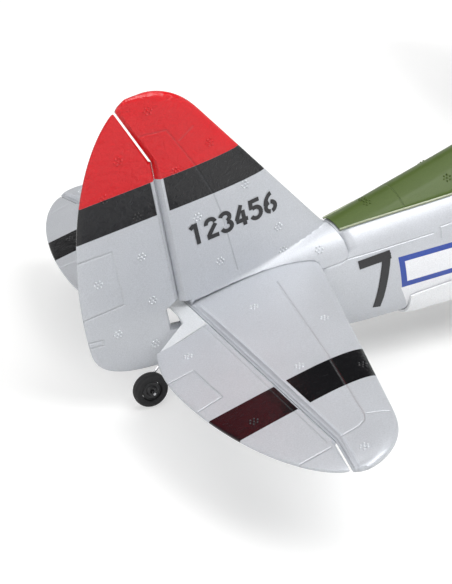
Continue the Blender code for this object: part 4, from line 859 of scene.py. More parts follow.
def rudder_lines(x, y, z):
    tab = polyline(x, z, ((-34.5, 30.6), (-20.6, 30.1), (-21.0, 10.7), (-36.0, 10.4)))
    stern = polyline(x, z, ((-36.2, 2.2), (-30.8, 1.2), (-31.0, -0.6), (-36.0, 0.2)))
    # This broad mask darkens the rudder's bevel along the hinge below the red: painted shade in the hinge
    # groove.
    hinge = (x - z * HINGE_RAKE).above(HINGE_FOOT - 1.7, 0.5) * (1.0 - z.above(FIN_RED))
    return tab.most(stern).most(hinge * 1.6)


def rudder_bands(x, y, z):
    clear_of_groove = 1.0 - (x - z * HINGE_RAKE).above(HINGE_FOOT - 1.9)
    return (z.above(FIN_RED), RED), (z.within(FIN_BAND, FIN_RED) * clear_of_groove, BLACK_FILM)


rudder_paint = painted_foam("silver_rudder_foam", SILVER, rudder_lines, rudder_bands, crinkle=2.2)
rings = [rudder_ring(z) for z in spread(-16.95, -16.0, 8) + spread(-15.6, -5.6, 18)]
rings += [rudder_ring(z, NOTCH_NOSE) for z in spread(-5.0, 2.8, 10)]
rudder_heights = spread(4.8, FIN_KINK, 40) + spread(54.1, 71.0, 24) + spread(71.4, 73.0, 8)
rings += [rudder_ring(z) for z in rudder_heights]
rudder = solid("rudder_foam", loft(rings), 28.0)
dress(rudder, rudder_paint, "rudder", "silver_foam", "rudder")

# Vent marks: the rosettes of seven tiny domes that the steam vents of the foam mould leave on every
# painted face. Each group takes the paint of the piece it stands on, over a lighter, glossier silver on the
# tail: the lighter silver is a painted highlight on the domes.
VENT_RADIUS = 0.4
VENT_RING = 1.2
VENT_SQUASH = 0.9
# Lighter than the silver round the vents: a painted highlight on the domes.
VENT_HIGHLIGHT_SILVER = (0.64, 0.66, 0.69)


def vent_marks(name, spots, place, material, body, slot="silver_foam"):
    """Rosettes on a surface; place(a, b) gives the point for two of its coordinates."""
    bm = bmesh.new()
    for a, b in spots:
        spot = Vector(place(a, b))
        one = (Vector(place(a + 0.5, b)) - spot).normalized()
        up = one.cross(Vector(place(a, b + 0.5)) - spot).normalized()
        two = up.cross(one)
        lie = Matrix((one, two, up)).transposed().to_4x4()
        for n in range(7):
            turn = math.tau * n / 6.0
            reach = VENT_RING if n < 6 else 0.0
            middle = spot + one * reach * math.cos(turn) + two * reach * math.sin(turn)
            shape = Matrix.Translation(middle) @ lie @ Matrix.Diagonal((1.0, 1.0, VENT_SQUASH, 1.0))
            bmesh.ops.create_icosphere(bm, subdivisions=2, radius=VENT_RADIUS, matrix=shape)
    dress(solid(name, bm, 60.0), material, body, slot)


FIN_VENTS = ((1.8, 71.0), (19.2, 53.4), (5.7, 48.6), (27.8, 34.8), (9.4, 30.6), (36.2, 15.6), (13.5, 12.4))
FIN_VENTS += ((36.0, 6.6), (47.1, 3.8))
RUDDER_VENTS = ((-11.1, 58.5), (-18.4, 48.4), (-9.6, 38.5), (-11.6, 24.6), (-27.5, 21.0), (-11.7, 8.2))
RUDDER_VENTS += ((-25.7, 1.3), (-14.5, -7.5))
STAB_VENTS = ((14.5, 20.6), (28.4, 41.4), (9.4, 58.6), (24.5, 70.0), (4.3, 103.1))
ELEVATOR_VENTS = ((-13.6, 28.4), (-13.5, 71.7))
SPINE_VENTS = ((70.5, 1.6), (99.0, 7.9), (150.0, 8.0), (205.0, 9.0))


def vent_paint(piece, bands):
    return painted_foam(f"glossy_{piece}_vents", VENT_HIGHLIGHT_SILVER, None, bands, 0.35, 0.3, 0.3)


def upright_face(side, half_at, lift=0.0):
    """The left or right face of an upright piece, as place(x, z)."""
    return lambda x, z: (x, side * (half_at(x, z) + lift), z)


def upper_face(side, height_at):
    """The left or right half of an upper face, as place(x, distance from the middle)."""
    return lambda x, s: (x, side * s, height_at(x, s))


fin_gloss = vent_paint("fin", fin_bands)
rudder_gloss = vent_paint("rudder", rudder_bands)
stab_gloss = vent_paint("stabilizer", stab_bands)
elevator_gloss = vent_paint("elevator", elevator_bands)
for side, tag in SIDES:
    tailplane, spine_face = upper_face(side, tail_half), upper_face(side, spine_top)
    vent_marks("fin_vents_" + tag, FIN_VENTS, upright_face(side, fin_half), fin_gloss, "airframe")
    vent_marks("rudder_vents_" + tag, RUDDER_VENTS, upright_face(side, rudder_half), rudder_gloss, "rudder")
    vent_marks("stab_vents_" + tag, STAB_VENTS, tailplane, stab_gloss, "airframe")
    vent_marks("elevator_vents_" + tag, ELEVATOR_VENTS, tailplane, elevator_gloss, "elevator")
    vent_marks("spine_vents_" + tag, SPINE_VENTS, spine_face, olive_paint, "airframe", "olive_foam")

# Numerals: plain black stencilled figures along the fin and one large figure on each side of the fuselage,
# thin film laid on the paint in strokes.
SERIAL = "123456"
SERIAL_PITCH = 5.45
SERIAL_HEIGHT = 7.5
SERIAL_WIDTH = 4.85
SERIAL_STROKE = 0.72
SERIAL_SPOT = (5.2, 21.4)
CODE_HEIGHT = 21.0
CODE_WIDTH = 13.6
CODE_STROKE = 1.55
CODE_SPOT = (57.0, -25.0)
FILM = 0.15


def bow(x, y, across, up, start, end):
    """Points of a round stroke."""
    turns = [math.radians(turn) for turn in spread(start, end, 15)]
    return [(x + across * math.cos(turn), y + up * math.sin(turn)) for turn in turns]


FIGURES = {
    "1": [[(0.36, 0.0), (0.36, 1.0)], [(0.1, 0.8), (0.3, 0.95)]],
    "2": [bow(0.33, 0.71, 0.22, 0.21, 185, 8), [(0.55, 0.66), (0.12, 0.16)], [(0.06, 0.1), (0.62, 0.1)]],
    "3": [bow(0.3, 0.73, 0.22, 0.19, 165, -75), bow(0.3, 0.29, 0.25, 0.21, 75, -165)],
    "4": [[(0.4, 0.98), (0.08, 0.34)], [(0.03, 0.27), (0.62, 0.27)], [(0.44, 0.0), (0.44, 0.72)]],
    "5": [[(0.2, 0.91), (0.58, 0.91)], [(0.15, 1.0), (0.12, 0.55)], bow(0.31, 0.34, 0.26, 0.26, 120, -155)],
    "6": [
        bow(0.34, 0.3, 0.24, 0.22, 80, -80), bow(0.34, 0.3, 0.24, 0.22, 100, 260),
        bow(0.62, 0.36, 0.52, 0.56, 105, 172),
    ],
    "7": [[(0.06, 0.93), (0.62, 0.93)], [(0.56, 0.975), (0.28, 0.0)]],
}


def finish(name, colour, other, roughness, metallic=0.0, pattern=None, depth=0.1, **fixed):
    """Two tones mixed by a pattern or a fine grain, which also sets roughness and bump."""
    material, ink = start_material(name, Metallic=metallic, **fixed)
    spot, x, y, z = coordinates(ink)
    grain = noise(ink, spot, 1.4, 3.0)
    figure = pattern(ink, spot, x, y, z) if pattern else grain
    relief = {"Height": figure + grain * 0.4, "Strength": 0.5, "Distance": depth * MM}
    bump = ink.make("ShaderNodeBump", None, relief)
    paint = blend(ink, figure, colour, other)
    drive(material, Base_Color=paint, Roughness=roughness + grain * 0.14, Normal=bump)
    return material


def figure_film(bm, text, height, half, place):
    """Adds the strokes of one figure, laid on a surface by place(across, up)."""
    for path in FIGURES[text]:
        corners = [Vector(point) * height for point in path]
        line = [a.lerp(b, step / 5.0) for a, b in zip(corners, corners[1:]) for step in range(5)]
        line.append(corners[-1])
        rows = []
        for i, point in enumerate(line):
            run = (line[min(i + 1, len(line) - 1)] - line[max(i - 1, 0)]).normalized()
            beside = Vector((-run.y, run.x)) * half
            rows.append([bm.verts.new(place(*(point + beside * f))) for f in (1.0, 0.0, -1.0)])
        for here, there in zip(rows, rows[1:]):
            for j in (0, 1):
                bm.faces.new((here[j], here[j + 1], there[j + 1], there[j]))


def read_from(side, face, spot, width):
    """Lays figures on a face so that they read from outside it, from a spot at their lower edge."""
    return lambda u, v: face(spot[0] + (width - u if side > 0.0 else u), spot[1] + v)


numeral_film = finish("black_numeral_film", (0.014, 0.014, 0.016), (0.026, 0.026, 0.028), 0.4)
for side, tag in SIDES:
    fin_face, body_face = upright_face(side, fin_half, FILM), upright_face(side, side_at, FILM)
    serial = bmesh.new()
    for n, text in enumerate(SERIAL if side < 0.0 else reversed(SERIAL)):
        spot = (SERIAL_SPOT[0] + SERIAL_PITCH * n, SERIAL_SPOT[1])
        place = read_from(side, fin_face, spot, SERIAL_WIDTH)
        figure_film(serial, text, SERIAL_HEIGHT, SERIAL_STROKE, place)
    code = bmesh.new()
    figure_film(code, "7", CODE_HEIGHT, CODE_STROKE, read_from(side, body_face, CODE_SPOT, CODE_WIDTH))
    for name, bm in (("serial_numerals_", serial), ("code_numeral_", code)):
        bmesh.ops.solidify(bm, geom=bm.faces[:], thickness=FILM)
        dress(solid(name + tag, bm), numeral_film, "airframe", "black_plastic")

# Wheels: foam rubber tyres with a moulded tread line on turned hubs. The tail wheel hangs on a bent wire
# that turns with the rudder; the main wheels run on the axle ends of the gear legs.
AXLE_STATION = 350.0
AXLE_HEIGHT = -91.6
MAIN_TRACK = 107.5
TAIL_WHEEL = (-19.8, 0.0, -24.3)


def turned(profile, centre, axis, steps=64, smooth=4):
    """Turns a closed profile of (along the axis, radius) pairs round an axis, rounded between its points."""
    points = []
    count = len(profile)
    for i in range(count):
        a, b, c, d = (Vector(profile[(i + k) % count]) for k in (-1, 0, 1, 2))
        for j in range(smooth):
            t = j / smooth
            square = (2.0 * a - 5.0 * b + 4.0 * c - d) * t * t
            inner = (c - a) * t + square + (3.0 * b - a - 3.0 * c + d) * t ** 3
            points.append(b + inner * 0.5 if smooth > 1 else b)
    turn = Vector(axis).to_track_quat("Z", "Y").to_matrix()
    rings = []
    for i in range(steps):
        angle = math.tau * i / steps
        out = Vector((math.cos(angle), math.sin(angle), 0.0))
        spots = [out * max(p.y, 0.001) + Vector((0.0, 0.0, p.x)) for p in points]
        rings.append([Vector(centre) + turn @ spot for spot in spots])
    return loft(rings, closed=True)


def tread(ink, spot, x, y, z):
    return (y * 2.6).math("SINE").math("ABSOLUTE").math("POWER", 6.0) * 0.6


def wheel(names, centre, radius, width, bore, body, tyre_paint, hub_paint, hub_slot):
    rim, half = radius * 0.52, width / 2.0
    deep = radius - rim
    tyre = [(-half * 0.62, rim + GAP), (-half * 0.97, rim + deep * 0.3), (-half * 0.92, rim + deep * 0.66)]
    tyre += [(-half * 0.6, radius - deep * 0.08 - 0.1), (-half * 0.06, radius - 0.14)]
    tyre += [(-along, reach) for along, reach in reversed(tyre)]
    hub = [(-half * 0.7, bore), (-half * 0.7, rim * 0.45)]
    hub += [(-half * 0.45, rim * 0.6), (-half * 0.5, rim * 0.86)]
    hub += [(-half * 0.6, rim * 0.9), (-half * 0.58, rim - 0.02)]
    hub += [(-along, reach) for along, reach in reversed(hub)]
    made = solid(names[0] + "_foam", turned(tyre, centre, (0.0, 1.0, 0.0)), 60.0)
    dress(made, tyre_paint, body, "rubber", names[0])
    made = solid(names[1] + "_turned", turned(hub, centre, (0.0, 1.0, 0.0), smooth=1))
    dress(made, hub_paint, body, hub_slot, names[1])


rubber = finish("foam_rubber", (0.011, 0.011, 0.012), (0.026, 0.026, 0.027), 0.7, 0.0, tread, 0.3)
black_plastic = finish("black_plastic_grain", (0.012, 0.012, 0.013), (0.028, 0.028, 0.03), 0.36)
aluminium = finish("turned_aluminium", (0.66, 0.67, 0.69), (0.78, 0.79, 0.81), 0.22, 1.0, None, 0.03)
tail_names = ("tail_tyre", "tail_hub")
wheel(tail_names, TAIL_WHEEL, 6.2, 4.4, 0.8, "tail_wheel", rubber, black_plastic, "black_plastic")
for side, tag in SIDES:
    wheel(
        ("main_tyre_" + tag, "main_hub_" + tag), (AXLE_STATION, side * MAIN_TRACK, AXLE_HEIGHT),
        19.5, 11.0, 1.4, "wheel_" + tag, rubber, aluminium, "aluminium",
    )

# Supercharger fairing: a thin moulded pad glued under the rear fuselage, silver white, with the dark ring of
# the exhaust outlet let into it. Its near-white is partly the pad's pale finish and partly a painted
# reflection of the white floor below.
FAIRING = (
    (75.5, 12.4, 0.2), (79.0, 13.0, 0.9), (100.0, 15.6, 1.1), (125.0, 16.4, 1.1), (150.0, 12.0, 0.8),
    (168.0, 4.0, 0.2),
)
FAIRING_SEAT = 0.6
OUTLET_STATION = 103.5
OUTLET_RADIUS = 5.6


def below_belly(x, y, away):
    """A point square off the fuselage's lower skin."""
    lean = (belly_at(x, y + 0.1) - belly_at(x, y - 0.1)) / 0.2
    out = Vector((lean, -1.0)).normalized() * away
    return (x, y + out.x, belly_at(x, y) + out.y)


def fairing_ring(x):
    half, depth = smooth_row(FAIRING, x)
    across = spread(1.0, -1.0, 33)
    over = [below_belly(x, f * half, FAIRING_SEAT - 0.3) for f in across]
    under = [below_belly(x, f * half, FAIRING_SEAT + 0.3 + depth * (1.0 - f ** 4)) for f in across]
    return over + under[::-1]


slope = (belly_at(OUTLET_STATION + 5.0, 0.0) - belly_at(OUTLET_STATION - 5.0, 0.0)) / 10.0
tilt = Vector((slope, 0.0, -1.0)).normalized()
disc_top = Vector((OUTLET_STATION, 0.0, belly_at(OUTLET_STATION, 0.0))) + tilt * FAIRING_SEAT
fairing = solid("turbo_fairing_pad", loft([fairing_ring(x) for x in spread(75.5, 168.0, 72)]))
recess = rod(bmesh.new(), disc_top - tilt * GAP, disc_top + tilt * 12.0, OUTLET_RADIUS + GAP, 48)
recess = solid("outlet_recess", recess)
carve(fairing, recess)
clear(recess)
# Near-white: partly the pad's pale finish, partly a painted reflection of the white floor on its downward
# face.
fairing_paint = painted_foam("pale_fairing_foam", (0.84, 0.85, 0.87), None, None, 0.2, 0.4)
dress(fairing, fairing_paint, "airframe", "silver_foam", "turbo_fairing")
outlet = [(0.0, 0.0), (0.0, OUTLET_RADIUS), (2.4, OUTLET_RADIUS), (2.4, OUTLET_RADIUS - 0.9)]
outlet += [(1.2, OUTLET_RADIUS - 1.5), (1.2, 3.2), (2.0, 2.8), (2.0, 0.0)]
made = solid("turbo_outlet_ring", turned(outlet, disc_top, tilt, smooth=1))
dress(made, black_plastic, "airframe", "black_plastic", "turbo_outlet")

# Wing panels: foam wings of elliptical planform plugged through the fuselage over the carbon joiner, with a
# bay for the aileron, ports for the guns, a socket for the gear leg and a pocket for the servo.
AILERON_OUT = 254.25
AILERON_IN = 146.9
AILERON_HINGE = 0.76
AILERON_ROD = 24.0
AILERON_SERVO_SPAN = AILERON_IN + 26.0
GUN_SPANS = (126.0, 133.0, 140.0, 147.0)
GUN_CARRIER = WING_AXIS + 22.0
GUN_BAR = 3.0
LEG_Y = 115.2
LEG_TOP = 337.0
WING_END = 280.0
SPAR_STATION = 315.0
SPAR_BORE = 2.3
PORT_RADIUS = 1.4
SOCKET_RADIUS = 1.4


def hinge_point(side, y):
    front, back = wing_le(y), wing_te(y)
    return Vector((front - AILERON_HINGE * (front - back), side * y, wing_mid(y, AILERON_HINGE)))


def hinge_frame(side):
    """Local axes at the aileron horn: forward across the hinge, along it to the left, and up."""
    start, end = hinge_point(side, AILERON_IN), hinge_point(side, AILERON_OUT)
    along = (end - start).normalized() * side
    spot = start.lerp(end, (AILERON_SERVO_SPAN - AILERON_IN) / (AILERON_OUT - AILERON_IN))
    ahead = along.cross(Vector((0.0, 0.0, 1.0))).normalized()
    turn = Matrix((ahead, along, ahead.cross(along))).transposed().to_4x4()
    return Matrix.Translation(spot) @ turn


def aileron_ring(side, y):
    start, end = hinge_point(side, AILERON_IN), hinge_point(side, AILERON_OUT)
    hinge = start.lerp(end, (y - AILERON_IN) / (AILERON_OUT - AILERON_IN))
    front, back = wing_le(y), wing_te(y)
    nose = hinge.x - GAP / 2.0
    shoulder = nose - MOVING_BEVEL * (wing_half(y, (front - nose) / (front - back)) - LIP)
    stations = [(nose, hinge.z, LIP)]
    for f in spread(0.0, 1.0, 14):
        x = shoulder + f * (back - shoulder)
        v = (front - x) / (front - back)
        stations.append((x, wing_mid(y, v), wing_half(y, v)))
    ring = [(x, side * y, m + h) for x, m, h in stations]
    return ring + [(x, side * y, m - h) for x, m, h in reversed(stations)]


def wing_lines(x, y, z):
    span = abs(y)
    depth = polyline(x, span, ((336.0, 34.0), (332.0, 120.0), (322.0, 200.0), (312.0, 262.0)))
    depth = depth.most(polyline(x, span, ((262.0, 34.0), (264.0, 120.0), (270.0, AILERON_IN))))
    for station in (62.0, 104.0, 154.0, 206.0, 255.0):
        depth = depth.most(groove(x, span, (360.0, station), (240.0, station)))
    return depth


wing_paint = painted_foam("silver_wing_foam", SILVER, wing_lines)
wing_spans = [SEAM] + spread(6.0, 270.0, 45) + spread(272.0, WING_END - 0.05, 10)
for side, tag in SIDES:
    panel = solid("wing_foam_" + tag, loft([wing_ring(side * y) for y in wing_spans]))
    start, end = hinge_point(side, AILERON_IN - GAP), hinge_point(side, AILERON_OUT + GAP)
    far = WING_AXIS - WING_CHORD
    bay = [(start.x + GAP / 2.0, start.y), (end.x + GAP / 2.0, end.y), (far, end.y), (far, start.y)]
    bay = solid("aileron_bay", loft([[(x, y, z) for x, y in bay] for z in (-100.0, 60.0)]))
    middle = Vector((SPAR_STATION, 0.0, wing_mid(0.0, 0.38)))
    reach = Vector((SPAR_STATION, side * 110.4, wing_mid(110.0, 0.38)))
    spar_bore = solid("spar_bore", rod(bmesh.new(), middle.lerp(reach, -0.02), reach, SPAR_BORE))
    level = wing_mid((GUN_SPANS[0] + GUN_SPANS[-1]) / 2.0, 0.2)
    inner, outer = sorted((side * (GUN_SPANS[0] - 2.3), side * (GUN_SPANS[-1] + 2.3)))
    bar = GUN_BAR / 2.0 + GAP
    slot = box((GUN_CARRIER - GAP, inner, level - bar), (GUN_CARRIER + GUN_BAR + GAP, outer, level + bar))
    slot = solid("gun_slot", slot)
    ports = bmesh.new()
    for y in GUN_SPANS:
        rod(ports, (GUN_CARRIER + GUN_BAR, side * y, level), (380.0, side * y, level), PORT_RADIUS)
    ports = solid("gun_ports", ports)
    top = Vector((LEG_TOP, side * LEG_Y, wing_mid(LEG_Y, 0.15)))
    foot = Vector((AXLE_STATION, side * LEG_Y, AXLE_HEIGHT))
    socket = rod(bmesh.new(), foot, top + (top - foot).normalized() * 0.4, SOCKET_RADIUS)
    socket = solid("leg_socket", socket)
    edge = sorted((side * 2.2, -side * 9.1))
    pocket = box((AILERON_ROD - 7.3, edge[0], -30.0), (AILERON_ROD + 9.3, edge[1], 3.7))
    pocket.transform(hinge_frame(side))
    pocket = solid("servo_pocket", pocket)
    carve(panel, bay, spar_bore, slot, ports, socket, pocket)
    clear(bay, spar_bore, slot, ports, socket, pocket)
    dress(panel, wing_paint, "airframe", "silver_foam", "wing_" + tag)
    aileron = loft([aileron_ring(side, y) for y in spread(AILERON_IN, AILERON_OUT, 30)])
    aileron = solid("aileron_foam_" + tag, aileron, 28.0)
    dress(aileron, wing_paint, "aileron_" + tag, "silver_foam", "aileron_" + tag)

# Cowl: the shell round the engine, thin red plastic drawn over a mould, with a front lip rolled inwards.
# It is pushed over the nose of the fuselage and has the lines of the cooling flaps behind.
THRUST = -20.0
COWL_REAR = NOSE_STATION + 0.6
COWL_PROFILE = (
    (COWL_REAR, 0.05), (402.0, -0.4), (412.0, -0.55), (421.0, -0.5), (430.0, -0.1), (436.0, 0.6),
    (441.0, 1.7), (445.0, 3.1), (448.0, 4.7), (450.2, 6.6), (450.95, 8.4), (450.7, 9.6), (450.0, 10.3),
    (448.0, 10.4), (446.0, 10.2), (440.0, 7.8), (434.0, 5.4), (418.0, 2.8), (COWL_REAR, 2.4),
)


def cowl_ring(x, inset):
    ring = []
    for i in range(96):
        turn = math.tau * i / 96.0
        side, up = math.cos(turn), math.sin(turn)
        reach = (31.8 if up > 0.0 else 41.6) - inset
        y = math.copysign((32.2 - inset) * abs(side) ** (2.0 / ROUND), side)
        ring.append((x, y, THRUST - 1.0 + math.copysign(reach * abs(up) ** (2.0 / ROUND), up)))
    return ring


def cowl_lines(x, y, z):
    return cross_line(x, 404.0, 0.4).most(cross_line(x, 431.0, 0.3))


cowl = solid("cowl_shell", loft([cowl_ring(x, inset) for x, inset in COWL_PROFILE], closed=True), 50.0)
cowl_paint = painted_foam("red_cowl_plastic", RED, cowl_lines, None, 0.0, 0.28, 0.3)
dress(cowl, cowl_paint, "airframe", "red_cowl", "cowl")

# Propeller: four black paddle blades with yellow tips, moulded in one with their hub in glass-filled nylon.
# It is pushed on the motor's shaft and held by a turned aluminium nut.
PROP_STATION = 458.0
BLADE = (
    (4.6, 5.0, 60.0, 3.2), (12.0, 8.0, 52.0, 2.6), (28.0, 15.0, 38.0, 1.9),
    (50.0, 17.0, 27.0, 1.4), (70.0, 14.0, 21.0, 1.0), (79.0, 7.0, 19.0, 0.7),
)
FORWARD = Vector((1.0, 0.0, 0.0))


def blade_ring(turn, reach):
    chord, pitch, thick = smooth_row(BLADE, reach)
    out = Vector((0.0, math.cos(turn), math.sin(turn)))
    along = Vector((0.0, -math.sin(turn), math.cos(turn)))
    lean = math.radians(pitch)
    edge = along * math.cos(lean) + FORWARD * math.sin(lean)
    face = along * -math.sin(lean) + FORWARD * math.cos(lean)
    centre = Vector((PROP_STATION - 0.5, 0.0, THRUST)) + out * reach
    tip = round_tip(reach, 79.0, 5.0)
    ring = []
    for i in range(24):
        step = math.tau * i / 24.0
        beside = edge * chord * tip / 2.0 * math.cos(step)
        ring.append(centre + beside + face * thick / 2.0 * math.sin(step))
    return ring


def join(bm, other):
    """Adds one mesh to another."""
    mesh = bpy.data.meshes.new("joined")
    other.to_mesh(mesh)
    bm.from_mesh(mesh)
    bpy.data.meshes.remove(mesh)


def blade_tips(ink, spot, x, y, z):
    height = z - THRUST
    return (y * y + height * height).math("SQRT").above(70.0, 0.3)


prop_centre = (PROP_STATION, 0.0, THRUST)
prop = turned([(-5.0, 1.8), (-5.0, 6.4), (4.0, 6.4), (4.0, 1.8)], prop_centre, FORWARD, smooth=1)
for n in range(4):
    join(prop, loft([blade_ring(math.tau * (n / 4.0 + 0.125), reach) for reach in spread(4.6, 78.95, 40)]))
prop_paint = finish("black_propeller", (0.015, 0.015, 0.016), (0.7, 0.42, 0.03), 0.35, 0.0, blade_tips)
dress(solid("propeller_blades", prop, 50.0), prop_paint, "propeller", "black_plastic", "propeller")
nut = [(4.3, 1.8), (4.3, 6.8), (6.0, 6.75), (9.0, 6.2), (12.0, 5.2), (14.0, 4.0), (15.4, 2.2)]
nut += [(15.95, 0.0), (10.6, 0.0), (10.6, 1.8)]
made = solid("spinner_nut", turned(nut, prop_centre, FORWARD, smooth=1), 40.0)
dress(made, aluminium, "propeller", "aluminium", "spinner")

# Canopy: a thin clear plastic sheet drawn over a mould, with raised frames painted olive. It is glued to
# the foam hatch over the battery bay, which is held by a magnet and lifts off.
CANOPY = (
    (238.3, 17.6, 34.6), (262.0, 18.6, 37.4), (285.0, 18.2, 36.6), (300.0, 17.4, 33.3), (333.0, 8.6, 18.0)
)
CANOPY_SEAT = 2.4 * DECK_GAP + 2.2
GLAZING = 1.0


def canopy_arch(x, grow):
    """Points over the canopy from side to side, moved outwards by grow."""
    half, top = smooth_row(CANOPY, x)
    foot = deck_at(x, half) + CANOPY_SEAT
    points = []
    for i in range(41):
        turn = math.pi * i / 40.0
        y = half * math.cos(turn)
        rise = math.sin(turn) ** 0.8 if 0 < i < 40 else 0.0
        z = max(foot + (top - foot + grow) * rise, deck_at(x, y) + CANOPY_SEAT)
        points.append((x, y * (half + grow) / half, z))
    return points


def canopy_band(start, end, outer, inner, steps):
    return loft([canopy_arch(x, outer) + canopy_arch(x, inner)[::-1] for x in spread(start, end, steps)])


glass = finish(
    "clear_canopy_plastic", (0.62, 0.7, 0.75), (0.68, 0.75, 0.79), 0.03, 0.0, None, 0.02,
    Alpha=0.35, Coat_Weight=0.5,
)
made = solid("canopy_shell", canopy_band(238.7, 322.0, 0.0, -GLAZING, 48), 50.0)
dress(made, glass, "hatch", "canopy", "canopy_glazing")
frames = bmesh.new()
for start, end in ((238.8, 241.6), (261.0, 263.0), (284.0, 286.0), (300.5, 303.0), (318.6, 321.8)):
    join(frames, canopy_band(start, end, 0.35, 0.05, 4))
dress(solid("canopy_frames", frames), olive_paint, "hatch", "olive_foam")

# Hatch: the foam block under the canopy, cut to fit the opening over the battery bay and painted olive.
# A steel magnet let into its foot holds it. It keeps its CAD shape, shaded smooth between sharp edges.
SHARP = 35.0
smoothing = bpy.data.node_groups.new("smooth_by_angle", "GeometryNodeTree")
for way in ("INPUT", "OUTPUT"):
    smoothing.interface.new_socket("Geometry", in_out=way, socket_type="NodeSocketGeometry")
graph = Shade(smoothing)
shape = graph.make("NodeGroupInput")
shape = graph.make("GeometryNodeMergeByDistance", None, {"Geometry": shape, "Distance": 1e-6})
shape = graph.make("GeometryNodeSetShadeSmooth", {"domain": "FACE"}, {"Geometry": shape})
fold = graph.make("GeometryNodeInputMeshEdgeAngle").math("LESS_THAN", math.radians(SHARP))
softened = {"Geometry": shape, "Shade Smooth": fold}
shape = graph.make("GeometryNodeSetShadeSmooth", {"domain": "EDGE"}, softened)
graph.make("NodeGroupOutput", None, {0: shape}, output=None)


def coat(material, *names):
    """Smooths CAD nodes whose shape stays and puts a finish on them."""
    for name in names:
        node = frame["nodes"][name]
        node.modifiers.new("smooth_by_angle", "NODES").node_group = smoothing
        node.data.materials.clear()
        node.data.materials.append(material)


steel = finish("bright_steel_wire", (0.5, 0.5, 0.52), (0.62, 0.62, 0.64), 0.2, 1.0, None, 0.03)
coat(olive_paint, "canopy_hatch")
coat(steel, "hatch_magnet")

# Landing gear and guns: legs and tail wheel wire bent from spring steel and pushed into the foam, doors of
# thin foam sheet glued to the legs, and turned gun barrels on a carrier let into the wing.
coat(steel, "tailwheel_strut", "gear_leg_left", "gear_leg_right", "gun_barrels_left", "gun_barrels_right")
coat(wing_paint, "gear_door_left", "gear_door_right")

# Controls: servos in black plastic cases, their arms and the horns moulded in white nylon, and steel wire
# rods that run from arm to horn.
nylon = finish("white_nylon", (0.74, 0.74, 0.72), (0.82, 0.82, 0.8), 0.4)
for surface, hand in (("elevator", ""), ("rudder", ""), ("aileron", "_left"), ("aileron", "_right")):
    coat(steel, surface + "_rod" + hand)
    coat(nylon, surface + "_horn" + hand, surface + "_arm" + hand)
    coat(black_plastic, surface + "_servo" + hand)

# Motor and engine: an outrunner motor with a turned bell and copper windings on a plastic mount, screwed to
# a plywood firewall, with a dummy engine moulded in dark plastic in front of it.
WINDING_PITCH = 9.0


def windings(ink, spot, x, y, z):
    return (x * WINDING_PITCH).math("SINE").math("ABSOLUTE")


def plies(ink, spot, x, y, z):
    inputs = {"Vector": spot, "Scale": 0.35, "Distortion": 5.0, "Detail": 3.0}
    return ink.make("ShaderNodeTexWave", {"bands_direction": "Y"}, inputs)


plywood = finish("thin_plywood", (0.58, 0.41, 0.23), (0.44, 0.29, 0.15), 0.6, 0.0, plies)
coat(black_plastic, "motor_mount")
coat(aluminium, "motor_bell")
coat(plywood, "firewall")
coat(finish("dark_engine_casting", (0.02, 0.02, 0.022), (0.09, 0.09, 0.095), 0.4, 0.4), "dummy_engine")
coat(finish("copper_windings", (0.5, 0.19, 0.07), (0.72, 0.33, 0.13), 0.25, 0.9, windings), "motor_stator")

# Equipment and wing joiner: the battery in shrink wrap and the bare receiver board on a plywood tray, and
# the carbon rod through the fuselage that carries both wings.
LABEL_REAR = 278.0
LABEL_FRONT = 304.0
WEAVE = 4.0


def tracks(ink, spot, x, y, z):
    inputs = {"Vector": spot, "Scale": 0.4, "Mortar Size": 0.05, "Mortar": (1, 1, 1, 1)}
    inputs.update({"Color1": (0, 0, 0, 1), "Color2": (0.2, 0.2, 0.2, 1)})
    return ink.make("ShaderNodeTexBrick", None, inputs, "Fac")


def weave(ink, spot, x, y, z):
    warp, weft = x * WEAVE + y * WEAVE, x * WEAVE - y * WEAVE
    return warp.math("SINE") * weft.math("SINE") * 0.5 + 0.5


def label(ink, spot, x, y, z):
    return x.within(LABEL_REAR, LABEL_FRONT, 0.2) * 0.8


coat(plywood, "equipment_tray")
coat(finish("carbon_weave", (0.012, 0.012, 0.013), (0.05, 0.05, 0.055), 0.25, 0.0, weave), "wing_joiner")
coat(finish("blue_shrink_wrap", (0.02, 0.07, 0.32), (0.75, 0.76, 0.78), 0.25, 0.0, label), "battery")
coat(finish("circuit_board", (0.012, 0.1, 0.035), (0.3, 0.33, 0.16), 0.35, 0.0, tracks), "receiver")

# Stage: a plain pale floor that runs out to a white wall, under three soft round studio lights. The floor
# glows less under the fuselage, where the shadow is deep, and the camera stands at the photograph's side.
FLOOR = 4.0
WHITE_LIGHT = (1.0, 1.0, 1.0, 1.0)
corners = [(-FLOOR, -FLOOR, 0.0), (FLOOR, -FLOOR, 0.0), (FLOOR, FLOOR, 0.0), (-FLOOR, FLOOR, 0.0)]
floor_mesh = bpy.data.meshes.new("studio_floor")
floor_mesh.from_pydata(corners, [], [(0, 1, 2, 3)])
floor = bpy.data.objects.new("studio_floor", floor_mesh)
bpy.context.scene.collection.objects.link(floor)


def light_rays(ink):
    """Marks of the rays that show the backdrop: straight to the camera, through glass, and mirrored."""
    kinds = ("Camera", "Transmission", "Glossy")
    return [ink.make("ShaderNodeLightPath", output=f"Is {kind} Ray") for kind in kinds]


floor_finish, ink = start_material("pale_floor", Base_Color=(0.86, 0.86, 0.85, 1.0), Roughness=0.9)
camera_ray, clear_ray, glossy_ray = light_rays(ink)
spot = ink.make("ShaderNodeTexCoord", output="Object")
ahead, beside = [ink.make("ShaderNodeSeparateXYZ", None, {0: spot}, output=axis) for axis in "XY"]
ahead = ahead + 0.1
away = (ahead * ahead + beside * beside).math("SQRT")
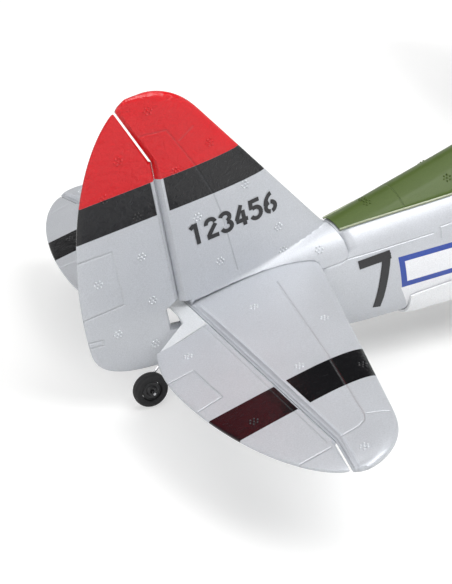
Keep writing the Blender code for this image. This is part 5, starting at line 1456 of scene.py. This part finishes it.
# Less glow near the fuselage and tail: a painted shadow on the floor that deepens the cast shadow there.
share = 0.17 + away.above(0.085, 0.11) * 0.23 + away.above(0.24, 0.18) * 0.15
seen = (camera_ray + clear_ray + glossy_ray).math("MINIMUM", 1.0) * share
glow = ink.make("ShaderNodeEmission", None, {"Color": WHITE_LIGHT, "Strength": 1.4})
shader = floor_finish.node_tree.nodes["Principled BSDF"].outputs[0]
lit = ink.make("ShaderNodeMixShader", None, {0: seen, 1: Shade(ink.tree, shader), 2: glow})
ink.tree.links.new(lit.socket, floor_finish.node_tree.nodes["Material Output"].inputs["Surface"])
floor_mesh.materials.append(floor_finish)


def softbox(name, place, target, size, watts):
    light = bpy.data.lights.new(name, "AREA")
    light.shape = "DISK"
    light.size = size
    light.energy = watts
    lamp = bpy.data.objects.new(name, light)
    bpy.context.scene.collection.objects.link(lamp)
    lamp.location = place
    lamp.rotation_euler = (Vector(target) - Vector(place)).to_track_quat("-Z", "Y").to_euler()


softbox("key_softbox", (0.18, -0.66, 1.12), (-0.15, 0.0, 0.03), 0.9, 14.0)
softbox("overhead_softbox", (-0.25, 0.1, 1.4), (-0.15, 0.0, 0.0), 1.5, 10.0)
softbox("rear_softbox", (-1.1, -0.8, 0.75), (-0.15, 0.0, 0.05), 0.8, 4.5)
world = bpy.data.worlds.new("studio")
bpy.context.scene.world = world
world.use_nodes = True
backdrop = world.node_tree.nodes["Background"]
backdrop.inputs["Color"].default_value = WHITE_LIGHT
sky = Shade(world.node_tree)
camera_ray, clear_ray, glossy_ray = light_rays(sky)
spot = sky.make("ShaderNodeTexCoord", output="Generated")
wall = 1.0 - sky.make("ShaderNodeSeparateXYZ", None, {0: spot}, output="Z").above(0.43, 0.06)
seen = (camera_ray + clear_ray + glossy_ray * wall).math("MINIMUM", 1.0)
sky.tree.links.new((seen * 0.93 + 0.07).socket, backdrop.inputs["Strength"])

EYE = Vector((-0.181406, -0.385197, 0.213829))
RIGHT = Vector((0.89177, -0.4525, 0.0))
UP = Vector((0.19936, 0.39289, 0.89771))
camera = bpy.data.cameras.new("photo_camera")
camera.lens = 89.47
camera.sensor_width = 36.0
eye = bpy.data.objects.new("photo_camera", camera)
bpy.context.scene.collection.objects.link(eye)
turn = Matrix((RIGHT, UP, RIGHT.cross(UP))).transposed().to_4x4()
eye.matrix_world = Matrix.Translation(AIRFRAME.translation + EYE) @ turn
bpy.context.scene.camera = eye
bpy.context.scene.view_settings.view_transform = "Standard"
